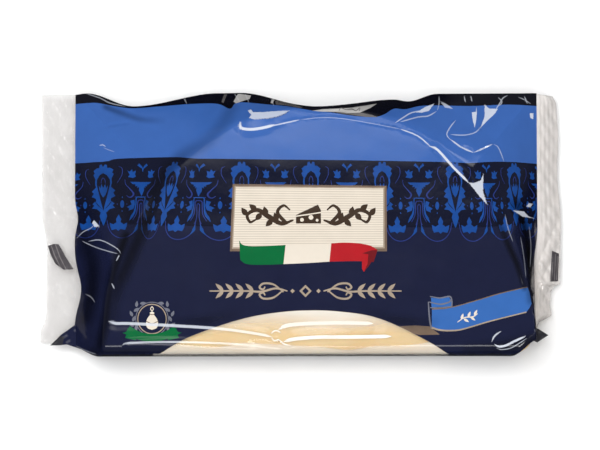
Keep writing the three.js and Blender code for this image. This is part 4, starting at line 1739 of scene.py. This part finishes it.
@dataclass(frozen=True)
class Creasing:
    """The sharp creases and flat dents of the stretched film, where they are seen.

    A valley is (width, slope, path), a glint or a painted highlight line is (width, strength of its painted
    highlight, path), a dent is (strength of its painted highlight, corners).
    """

    valleys: tuple = (
        (4.0, -0.06, ((231, 106), *LEFT_SHOULDER)),
        (2.0, -0.3, ((98, 101), (122, 112), (145, 120))),
        (1.0, -0.36, ((512, 236), (513.5, 250), (518, 268), (523, 285))),
        (0.8, -0.42, ((315, 112), (340, 110.5), (365, 108.5), (383, 104))),
        (1.4, -0.25, ((100, 128), (116, 124), (132, 122))),
    )
    # each glint also lays a painted highlight of that strength
    glints: tuple = (
        (1.1, 0.9, ((240, 121), (241, 127.6), (250, 129.4), (262, 128), (276, 124.6))),
        (0.5, 0.7, ((266, 127.2), (285, 123), (300, 119.6))),
        (0.3, 0.3, ((300, 119.6), (322, 117.4), (342, 118.5), (369, 123), (390, 127), (402, 129.6))),
        (0.5, 0.75, ((400, 129), (418, 136), (431, 147))),
        (0.9, 0.95, ((429, 146), (438, 150), (453, 167), (469, 183))),
        (0.4, 0.55, ((456, 120), (451, 126), (447, 133), (448, 137), (452, 141))),
        (0.6, 0.7, ((450, 139), (458, 145), (465, 149), (473.5, 152.6))),
        (0.6, 0.6, ((473.5, 152.6), (482, 149), (493, 144))),
        (0.45, 0.45, ((450, 134.4), (465, 135), (476, 132), (481, 126))),
        (1.1, 0.75, ((108, 321), (116, 323.4), (130, 323.5), (180, 326), (223, 329), (258, 334), (272, 337))),
        (1.5, 0.85, ((278, 330), (286, 325.7), (299.5, 324), (317.6, 323.2), (344.7, 322.8), (374, 323.6))),
        (1.4, 0.85, ((283, 342), (292.8, 339.3), (308.6, 337.7), (326.6, 337), (349.2, 337), (392, 336.3))),
        (0.8, 0.6, ((122, 345.5), (130, 343), (180, 342), (235, 344), (262, 347), (284, 349))),
        (0.6, 0.8, ((271, 334), (274, 331), (278, 331), (281, 333.6))),
        (0.6, 0.8, ((271, 336), (274, 340.6), (279, 340), (284, 344), (292, 345.5))),
    )
    # painted highlights alone, with no relief
    highlight_lines: tuple = (
        (0.4, 0.45, ((493, 144), (498, 147), (502, 156), (504, 162))),
        (0.35, 0.6, ((99, 145.5), (103, 145), (106, 147))),
        (0.3, 0.3, ((103, 147.5), (109, 150), (115, 152))),
        (0.4, 0.5, ((498, 97), (502, 102), (499, 106))),
        (0.35, 0.45, ((518, 97), (524, 99.5), (531, 104))),
        (0.45, 0.35, ((83.5, 92.5), (100, 98), (110, 103), (126, 106.5))),
        (0.5, 0.6, ((395, 123), (404, 117), (412, 112.5), (424, 110), (434, 104))),
        (0.5, 0.5, ((400, 122), (418, 117), (428, 116), (437, 111))),
        (0.4, 0.4, ((437, 111), (439, 104), (439, 96))),
        (0.45, 0.5, ((439.5, 101), (446, 104.5), (453, 108.9))),
        (0.45, 0.6, ((476.5, 107), (476, 117), (474.6, 128))),
        (0.45, 0.5, ((494, 112), (500, 103), (503, 98), (508, 95.2))),
        (0.4, 0.5, ((524.3, 96), (527.5, 104))),
        (0.4, 0.5, ((464, 95.5), (465.5, 102.5))),
        (0.4, 0.5, ((470.8, 95.5), (472, 102))),
        (0.35, 0.5, ((76.5, 238.5), (83, 232), (91, 228), (94.5, 224))),
        (0.35, 0.5, ((82, 241), (94, 246.6), (106, 250.6), (118, 253.8))),
        (0.35, 0.6, ((88, 241.4), (100, 240), (113, 246), (119, 250.5), (120.6, 254))),
        (0.4, 0.7, ((119.5, 254.5), (116, 261.5))),
        (0.4, 0.3, ((85, 294), (91, 297), (95, 302.5))),
        (0.4, 0.6, ((111.5, 283), (114.5, 289))),
        (0.4, 0.35, ((69, 336), (70, 341), (73, 344.5), (84, 350), (98, 355))),
        (0.6, 0.8, ((491.5, 342), (495, 335.5), (501.5, 331))),
        (0.8, 0.95, ((494, 344), (499, 346.6), (506, 345.4), (515, 341), (526, 336))),
        (0.3, 0.7, ((496, 348), (502, 349.6), (511, 348), (519, 343.4), (527, 338.2))),
        (0.4, 0.3, ((520.5, 236), (524, 258), (526, 278))),
        (0.4, 0.3, ((505, 214), (508, 228), (513, 242))),
        (0.4, 0.3, ((529, 226), (531, 246), (530, 268))),
        (0.4, 0.3, ((183, 96), (187, 104))),
        (0.4, 0.3, ((234, 93), (240, 102))),
        (0.4, 0.3, ((245, 93), (249, 103))),
        (0.4, 0.3, ((271, 98), (274, 106))),
    )
    # each dent also lays a painted highlight of that strength
    dents: tuple = (
        (0.8, ((468.6, 182.8), (475, 182.8), (480.9, 180.1), (483.6, 173.7), (483, 190.9), (487.3, 204.8),
         (479.3, 196.2), (473, 188))),
        (0.8, ((484.6, 104.1), (488.9, 108.4), (498, 108.9), (494.3, 114.3), (485.7, 122.3), (480.4, 128.2),
         (484.6, 115.9))),
        (0.8, ((471.8, 112.1), (477.1, 111.6), (476.2, 119), (474.5, 127.1), (472.4, 119))),
        (0.75, ((416, 112.6), (425, 107), (434.3, 103.5), (428.9, 111), (422, 112.6))),
        (0.5, ((440.7, 102.5), (447, 104.2), (453, 108.9), (445, 107.6))),
        (0.8, ((94, 219.8), (99.4, 226.2), (94.4, 227.2), (92.1, 223))),
        (0.8, ((512.5, 210.3), (524, 211.4), (528.4, 216.3), (535, 218.7), (522.9, 216.9))),
        (0.7, ((526, 206.5), (529, 203), (533, 204), (530, 207.4))),
        (0.85, ((529.6, 113.2), (533.6, 113.2), (533.2, 119), (530.5, 118.4))),
        (0.75, ((247.5, 110.5), (251.2, 109.5), (253.2, 112), (262.5, 112), (276.2, 111), (290, 110.5),
                (285, 113.8), (277.5, 117), (267.5, 118.8), (255, 119.5), (248.8, 118), (251.2, 115))),
    )
    steepest: float = 1.0
    leg: float = 0.8
    most_rise: float = 0.7

    def lay(self, studio: Studio, form: PackForm) -> None:
        """Presses the creases and dents into the form, each on top of those before it.

        Args:
            studio: the camera and the lights.
            form: the pack.
        """
        for width, slope, path in self.valleys:
            form.fine.append(Crease(studio.touch(curve(path, 3), form), width, slope))
        for highlight_paint, corners in self.dents:
            form.fine.append(self.dent(studio, form, studio.touch(np.array(corners, float), form), highlight_paint))
        for width, highlight_paint, path in self.glints:
            form.fine.append(self.glint(studio, form, studio.touch(curve(path, 3), form), width, highlight_paint))
        # painted highlight lines, with no relief
        for width, highlight_paint, path in self.highlight_lines:
            line = dense(studio.touch(curve(path, 3), form), self.leg, closed=False)
            form.fine.append(HighlightLine(line, width, highlight_paint))
        log.info("creasing: %d lines and dents", len(form.fine))

    def dent(self, studio: Studio, form: PackForm, corners: Points, highlight_paint: float) -> Facet:
        """A flat dent, turned towards the mirroring of a strip light as far as its depth allows."""
        middle = corners.mean(axis=0)
        slope = form.slopes(middle[None])[0]
        turns = studio.tilts() - slope
        depths = np.ptp(turns @ (corners - middle).T, axis=1)
        turn = turns[depths.argmin()] * min(1.0, self.most_rise / depths.min())
        return Facet(corners, form.front_height(*middle[:, None])[0], slope + turn, highlight_paint)

    def glint(self, studio: Studio, form: PackForm, path: Points, width: float, highlight_paint: float) -> Glint:
        """A crease that mirrors the strip light which stands best across it."""
        path = dense(path, self.leg, closed=False)
        ahead, left = headings(path)
        run = (form.slopes(path) * ahead).sum(axis=1)
        tilts = studio.tilts()
        miss = tilts @ ahead.T - run
        chosen = np.abs(miss).mean(axis=1).argmin()
        slopes = np.clip(left @ tilts[chosen], -self.steepest, self.steepest)
        place = np.linspace(0.0, 1.0, len(path))
        half = HighlightLine(path, width, highlight_paint).half(place)
        rise = np.cumsum(miss[chosen] * self.leg)
        rise = (rise - rise.mean()) * half / half.max()
        share = min(1.0, self.most_rise / max(np.ptp(rise), 1e-6))
        levels = form.front_height(*path.T) + rise * share
        edges = [form.front_height(*(path + left * (half * side)[:, None]).T) for side in (1, -1)]
        steps = np.array([levels + slopes * half * side - edge for side, edge in zip((1, -1), edges)])
        return Glint(path, width, highlight_paint, levels=levels, slopes=slopes, steps=steps)


# ---- The pack's pieces ----


@dataclass
class Wrapper:
    """The printed film with its clear window: one web, cut along every colour's edge."""

    studio: Studio
    form: PackForm
    pitch: float = 0.62
    side_pitch: float = 1.5
    back_pitch: float = 2.4
    print_step: float = 2.0
    strip_from: float = 0.85
    # the haziest rows, along the sill, are a painted reflection of the white table
    window_film: ClearFilm = ClearFilm(
        "clear_window_film", 0.02, (255, 250, 240), 0.05,
        rows=((-53, 0.5), (-49.4, 0.45), (-48.4, 0.04), (-43.8, 0.03), (-41.2, 0.2), (-30, 0.25)),
    )
    regions: list = field(default_factory=list)

    def paint_fold_shade(self) -> None:
        """Paints the strip over the long fold in a darker navy: painted shade."""
        form = self.form
        low, high = form.width * self.strip_from, form.width + form.side_run
        ends = (form.left_root, form.right_root)
        strip = np.array(((ends[0], low), (ends[1], low), (ends[1], high), (ends[0], high)))
        self.regions.append((Ink.NIGHT, dense(strip, self.pitch)))

    def print_on(self, art: object) -> None:
        """Adds artwork: everything of its kind lies over what was printed before."""
        shapes = art.shapes()
        for ink, loop in shapes:
            seen = self.studio.touch(dense(loop, self.print_step), self.form)
            self.regions.append((ink, self.form.flatten(seen)))
        log.info("%s: %d printed shapes", type(art).__name__, len(shapes))

    def seeds(self) -> Points:
        """Loose points all over the web: close on the front and along creases, wide on the back."""
        form, rows = self.form, []
        side, back, length = form.side_run, form.back_run, form.right_root - form.left_root
        spans = (
            (0.0, form.width, self.pitch, self.pitch), (-side, 0.0, self.side_pitch, self.side_pitch),
            (-side - back, -side, self.back_pitch, self.back_pitch),
            (form.width, form.width + side, self.side_pitch, self.side_pitch),
            (form.width + side, form.width + side + back, self.back_pitch, self.back_pitch),
        )
        for low, high, down, across in spans:
            a = np.linspace(form.left_root, form.right_root, round(length / across) + 1)
            t = np.linspace(low, high, round((high - low) / down) + 1)
            rows.append(np.stack(np.meshgrid(a, t), axis=-1).reshape(-1, 2))
        rows += [form.flatten(piece.rows()) for piece in form.fine]
        return np.vstack(rows)

    def build(self, window: Window) -> None:
        """Cuts, prints and wraps the web, and parts the window from the printed film."""
        clear = window.outline(self.studio, self.form)
        web, faces = triangulate(self.seeds(), [loop for _, loop in self.regions] + [clear])
        middles = web[faces].mean(axis=1)
        inks = list(Ink)
        number = np.full(len(faces), inks.index(Ink.NAVY))
        for ink, loop in self.regions:
            number[inside(middles, loop)] = inks.index(ink)
        verts, normals = self.form.place(web), self.form.normals(web)
        faces = self.close_lap(web, faces)
        in_window = inside(middles, clear)
        front = (web[:, 1] > 0.0) & (web[:, 1] < self.form.width)
        # painted highlights along the creases and in the dents
        highlighted = [piece for piece in self.form.fine if hasattr(piece, "highlight_paint")]
        painted_highlight = np.max([piece.painted_highlight(*verts[:, :2].T) for piece in highlighted], axis=0)
        # painted shade in the folds
        depth = PaintedFoldShade().at(self.studio, self.form, verts[:, :2])
        used = sorted(set(number[~in_window]))
        order = np.searchsorted(used, number)
        finishes = [inks[k].value.material() for k in used]
        printed = self.part("printed_film", verts, normals, faces, ~in_window, finishes, order)
        ride(printed, "printed_film", "film_wrapper")
        clear_finish = [self.window_film.material()]
        glass = self.part("window_film", verts, normals, faces, in_window, clear_finish, None)
        ride(glass, "clear_film")
        # both pieces carry the painted shade and the painted highlights as point attributes
        for piece, keep in ((printed, ~in_window), (glass, in_window)):
            for name, values in ((PAINTED_SHADE, depth * front), (PAINTED_HIGHLIGHT, painted_highlight * front)):
                layer = piece.data.attributes.new(name, "FLOAT", "POINT")
                layer.data.foreach_set("value", values[np.unique(faces[keep])])

    def close_lap(self, web: Points, faces: Points) -> Points:
        """Sews the web's two long edges together, where they meet at the middle of the back."""
        ends = (web[:, 1].min(), web[:, 1].max())
        first, last = (np.flatnonzero(np.abs(web[:, 1] - end) < 1e-3) for end in ends)
        first, last = first[np.argsort(web[first, 0])], last[np.argsort(web[last, 0])]
        sewn = np.arange(len(web))
        sewn[last] = first
        return sewn[faces]

    def part(
        self, name: str, verts: Points, normals: Points, faces: Points, keep: Points, materials: list,
        inks: Points,
    ) -> Object:
        """Makes a piece of some of the web's faces, with the whole web's normals."""
        used, corners = np.unique(faces[keep], return_inverse=True)
        picked = None if inks is None else inks[keep]
        triangles = corners.reshape(-1, 3).tolist()
        return new_object(name, verts[used], triangles, materials, picked, normals[used])


@dataclass
class EndSeal:
    """A clear crimped end, which Geometry Nodes press into ribs, with its printed eye mark."""

    name: str
    form: PackForm
    is_left: bool
    outer: tuple
    low: tuple
    high: float
    rise: float
    droop: float
    crimp: Crimp
    mark: tuple
    hatch: tuple
    thickness: float = 0.55
    tuck: float = 0.05
    rumple: float = 0.16
    crumple: float = 0.5
    milk: tuple = (214, 207, 203)
    haze: float = 0.16
    gloss: float = 0.14
    mark_gap: float = 0.1
    mark_thickness: float = 0.08

    def root(self, y: Points) -> Points:
        """The line where the seal leaves the pack."""
        return self.form.left_line(y) if self.is_left else self.form.right_line(y)

    def height(self, x: Points, y: Points) -> Points:
        """The seal's height at a place, without its ribs."""
        root, outer = self.root(y), along(self.outer, y)
        w = np.clip((x - root) / (outer - root), 0.0, 1.0)
        rumple = self.rumple * (np.sin(0.9 * y + 1.3 * x) + np.sin(0.53 * y - 0.9 * x + 1.0))
        sharp = np.abs(np.sin(0.55 * y + 0.75 * x)) + np.abs(np.sin(0.33 * y - 0.66 * x + 0.5))
        crumple = self.crumple * sharp * smooth((8.0 - y) / 22.0) * smooth((y + 46.0) / 10.0)
        return self.rise + self.droop * w**1.5 + (rumple + crumple) * smooth(w * 3.0)

    def build(self, studio: Studio) -> None:
        """Makes the seal and its eye mark."""
        material = ClearFilm(f"{self.name}_film", self.haze, self.milk, self.gloss).material()
        strip, faces = self.crimp.strip(material)
        w, v, rib = strip.T
        y = mix(mix(self.low[0], self.low[1], w), self.high, v)
        x = mix(self.root(y), along(self.outer, y), mix(-self.tuck, 1.0, w))
        verts = np.column_stack((x, y, self.height(x, y) + rib * smooth(w * 6.0)))
        if self.is_left:
            faces = [face[::-1] for face in faces]
        ride(new_object(self.name, *thickened(verts, faces, self.thickness), [material]), "clear_film")
        self.eye_mark(studio)

    def eye_mark(self, studio: Studio) -> None:
        """Prints the dark register mark on top of the seal."""
        height = self.rise + 0.6 * self.droop
        loop = studio.sight(np.array(self.mark, float), np.full(len(self.mark), height))
        lines = [studio.sight(line, np.full(len(line), height)) for line in map(np.array, self.hatch)]
        strips = [stroke(dense(line, 1.0, closed=False), (0.16, 0.22, 0.16)) for line in lines]
        flat, faces = patch(loop, 0.7, strips)
        middles = flat[faces].mean(axis=1)
        pale = np.any([inside(middles, strip) for strip in strips], axis=0)
        lift = self.thickness / 2 + self.crimp.depth / 2 + self.mark_gap
        verts = np.column_stack((flat, self.height(*flat.T) + lift))
        name = self.name.replace("seal", "eye_mark")
        two_tone(name, verts, faces, self.mark_thickness, pale, (Ink.EYE_MARK, Ink.EYE_MARK_LINE))


@dataclass
class Ear:
    """A corner of printed film that is folded out flat beside a seal, with a grey tip."""

    name: str
    outline: tuple
    tip: tuple
    height: float
    ruck: float = 0.1
    thickness: float = 0.7

    def build(self, studio: Studio) -> None:
        """Makes the ear."""
        loop = studio.sight(np.array(self.outline, float), np.full(len(self.outline), self.height))
        tip = studio.sight(np.array(self.tip, float), np.full(len(self.tip), self.height))
        flat, faces = patch(loop, 0.5, [dense(tip, 0.5)])
        x, y = flat.T
        ruck = np.sin(1.1 * x + 0.6 * y) + 0.6 * np.sin(2.3 * y - 1.4 * x)
        verts = np.column_stack((x, y, self.height + self.ruck * ruck))
        grey = inside(flat[faces].mean(axis=1), tip)
        two_tone(self.name, verts, faces, self.thickness, grey, (Ink.NAVY, Ink.EAR_TIP))


@dataclass
class BackSeam:
    """The lap seam's ribbed flap, pressed flat along the middle of the back."""

    form: PackForm
    low: float = -9.6
    high: float = -0.4
    end_gap: float = 0.6
    thickness: float = 0.16
    crimp: Crimp = Crimp("back_seam_ribs", 60, 0.06, 361, 13)

    def build(self) -> None:
        """Makes the flap."""
        material = Ink.NAVY.value.material()
        strip, faces = self.crimp.strip(material)
        u, v, rib = strip.T
        y = mix(self.low, self.high, v)
        x = mix(self.form.left_line(y) + self.end_gap, self.form.right_line(y) - self.end_gap, u)
        z = self.form.back_height(x, y) - self.form.lap_lift / 2 + rib
        plate = thickened(np.column_stack((x, y, z)), faces, self.thickness)
        ride(new_object("back_seam", *plate, [material]), "printed_film")


@dataclass
class CheeseSlab:
    """The half-round slab, with rounded edges and faint marks of the knife."""

    box: tuple
    corner: float = 6.5
    edge: float = 5.5
    edge_drop: float = 3.8
    columns: int = 300
    bend_rows: int = 7
    side_rows: int = 6
    face_rows: int = 30
    core_share: float = 0.42

    def outline(self) -> Points:
        """The slab's outline, turning left, with rounded corners at the cut side."""
        (x0, y0, _), (x1, y1, _) = self.box
        a, mid = (x1 - x0) / 2, (x0 + x1) / 2
        turn = np.linspace(0.0, math.pi, 160)
        rise = y1 - y0 - self.corner
        dome = np.column_stack((mid + a * np.cos(turn), y0 + self.corner + rise * np.sin(turn)))
        turn = np.linspace(math.pi, 1.5 * math.pi, 12)[1:]
        left = np.column_stack((np.cos(turn), np.sin(turn))) * self.corner
        left += (x0 + self.corner, y0 + self.corner)
        right = (left * (-1, 1) + (2 * mid, 0.0))[::-1]
        loop = np.vstack((dome, left, right))
        steps = np.linalg.norm(np.roll(loop, -1, axis=0) - loop, axis=1)
        gone = np.concatenate(((0.0,), np.cumsum(steps)))
        even = np.linspace(0.0, gone[-1], self.columns, endpoint=False)
        ring = np.vstack((loop, loop[:1]))
        return np.column_stack([np.interp(even, gone, ring[:, k]) for k in (0, 1)])

    def build(self) -> None:
        """Makes the slab."""
        (_, y0, z0), (_, y1, z1) = self.box
        loop = self.outline()
        ahead = np.roll(loop, -1, axis=0) - np.roll(loop, 1, axis=0)
        inward = np.column_stack((-ahead[:, 1], ahead[:, 0])) / np.linalg.norm(ahead, axis=1)[:, None]
        core = np.array(((self.box[0][0] + self.box[1][0]) / 2, mix(y0, y1, self.core_share)))
        flat = loop + inward * self.edge
        rings = [(mix(core, flat, share), z0) for share in np.linspace(0.0, 1.0, 5)[1:-1]]
        bend = np.linspace(0.0, math.pi / 2, self.bend_rows)
        rounded = [loop + inward * self.edge * (1 - math.sin(turn)) for turn in bend]
        drops = [self.edge_drop * (1 - math.cos(turn)) for turn in bend]
        rings += [(ring, z0 + drop) for ring, drop in zip(rounded, drops)]
        middle = np.linspace(z0 + self.edge_drop, z1 - self.edge_drop, self.side_rows)[1:-1]
        rings += [(loop, z) for z in middle]
        rings += [(ring, z1 - drop) for ring, drop in zip(rounded[::-1], drops[::-1])]
        rings += [(mix(flat, core, share), z1) for share in np.linspace(0.0, 1.0, self.face_rows)[1:-1]]
        verts = [np.column_stack((ring, np.full(len(ring), z))) for ring, z in rings]
        verts = np.vstack((*verts, [(*core, z0)], [(*core, z1)]))
        verts = self.marked(verts, z1)
        new = new_object("cheese_slab", verts, self.faces(len(rings)), [CheeseFinish().material()])
        ride(new, "cheese", "cheese")

    def marked(self, verts: Points, top: float) -> Points:
        """Sinks shallow knife marks and soft unevenness into the upper face."""
        x, y, z = verts.T
        on_top = smooth((z - top + 1.0) / 1.0)
        knife = 0.05 * np.sin(2.1 * y + 0.12 * x) + 0.04 * np.sin(3.7 * y - 0.2 * x + 1.0)
        soft = 0.10 * np.sin(0.11 * x + 0.7) * np.sin(0.17 * y)
        return np.column_stack((x, y, z - (0.19 + knife + soft) * on_top))

    def faces(self, rings: int) -> list:
        """Quads between the rings, and a fan at each end."""
        n = self.columns
        found = []
        for row in range(rings - 1):
            for k in range(n):
                a, b = row * n + k, row * n + (k + 1) % n
                found.append((a, b, b + n, a + n))
        low, high = rings * n, rings * n + 1
        last = (rings - 1) * n
        found += [((k + 1) % n, k, low) for k in range(n)]
        return found + [(last + k, last + (k + 1) % n, high) for k in range(n)]


# ---- Build ----


def end_seals(form: PackForm) -> tuple:
    """The two end seals."""
    left = EndSeal(
        "seal_left", form, True, high=51.6, low=(-47.6, -46.8), rise=form.left_rise, droop=-1.8,
        outer=((-47, -103), (-43, -102.8), (-36, -100.6), (-10, -100.4), (5, -102.6), (51.6, -103)),
        crimp=Crimp("left_seal_ribs", 6, 0.12, 97, 150),
        mark=((48, 246), (54, 244), (59, 244.6), (66, 257), (74, 269.5), (64, 270), (55.5, 264), (51, 255)),
        hatch=(((51, 244.6), (55, 256), (61, 268)), ((55.4, 244), (60, 257), (66.5, 269.6)),
               ((68, 259), (72.6, 268.6))),
    )
    right = EndSeal(
        "seal_right", form, False, high=51.2, low=(-45.5, -37.5), rise=form.right_rise, droop=-7.6,
        # painted light: paler and milkier than the left seal's film, to make up for the shade on this side
        milk=(252, 246, 242), haze=0.5,
        outer=((-45, 93.6), (-39, 94), (-35.5, 98.6), (-31, 98), (-27, 98.4), (-24.6, 99.4),
               (-23.4, 102), (2, 102.6), (20, 101.4), (36, 101.8), (48, 101.2), (51.6, 99.8)),
        crimp=Crimp("right_seal_ribs", 5, 0.13, 97, 150),
        mark=((551.7, 251), (559.2, 253.3), (558.2, 281), (549.8, 282)),
        hatch=(((552.6, 262), (551.4, 281)), ((555.6, 254), (554.2, 281)), ((557.6, 256), (556.8, 280))),
    )
    return left, right


def ears(form: PackForm) -> tuple:
    """The two corners folded out beside the seals."""
    left = Ear(
        "ear_left",
        ((84, 319), (80, 321.5), (60.9, 335), (50.3, 345.4), (60, 345.2), (66.6, 344.4), (84, 350),
         (90, 336)),
        ((50.3, 345.4), (59.6, 335.9), (64.5, 337), (62.5, 345)), form.left_rise + 1.1,
    )
    right = Ear(
        "ear_right",
        ((524, 318), (527.8, 323), (540, 330), (548.4, 335.2), (537.4, 342.4), (532, 340), (520, 344)),
        ((529, 323.6), (540, 330), (548.4, 335.2), (537.4, 342.4), (531, 338)), form.right_rise - 1.5,
    )
    return left, right


def main() -> None:
    """Builds the pack round the CAD frame and reports each piece."""
    logging.basicConfig(level=logging.INFO, format="%(name)s: %(message)s")
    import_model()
    film_box, cheese_box = (tuple(np.array(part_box(node)) / MM) for node in ("film_wrapper", "cheese"))
    form = PackForm(film_box, cheese_box)
    studio = Studio()
    studio.build()
    Creasing().lay(studio, form)
    wrapper = Wrapper(studio, form)
    # painted shade over the long fold
    wrapper.paint_fold_shade()
    window = Window()
    kinds = (BlueBand, FoldReflections, Frieze, LabelPlate, TricolourRibbon, TitleRule, Emblem, BlueRibbon)
    for art in (*(kind() for kind in kinds), window):
        wrapper.print_on(art)
    wrapper.build(window)
    for seal in end_seals(form):
        seal.build(studio)
    for ear in ears(form):
        ear.build(studio)
    BackSeam(form).build()
    CheeseSlab(cheese_box).build()


if __name__ == "__main__":
    main()
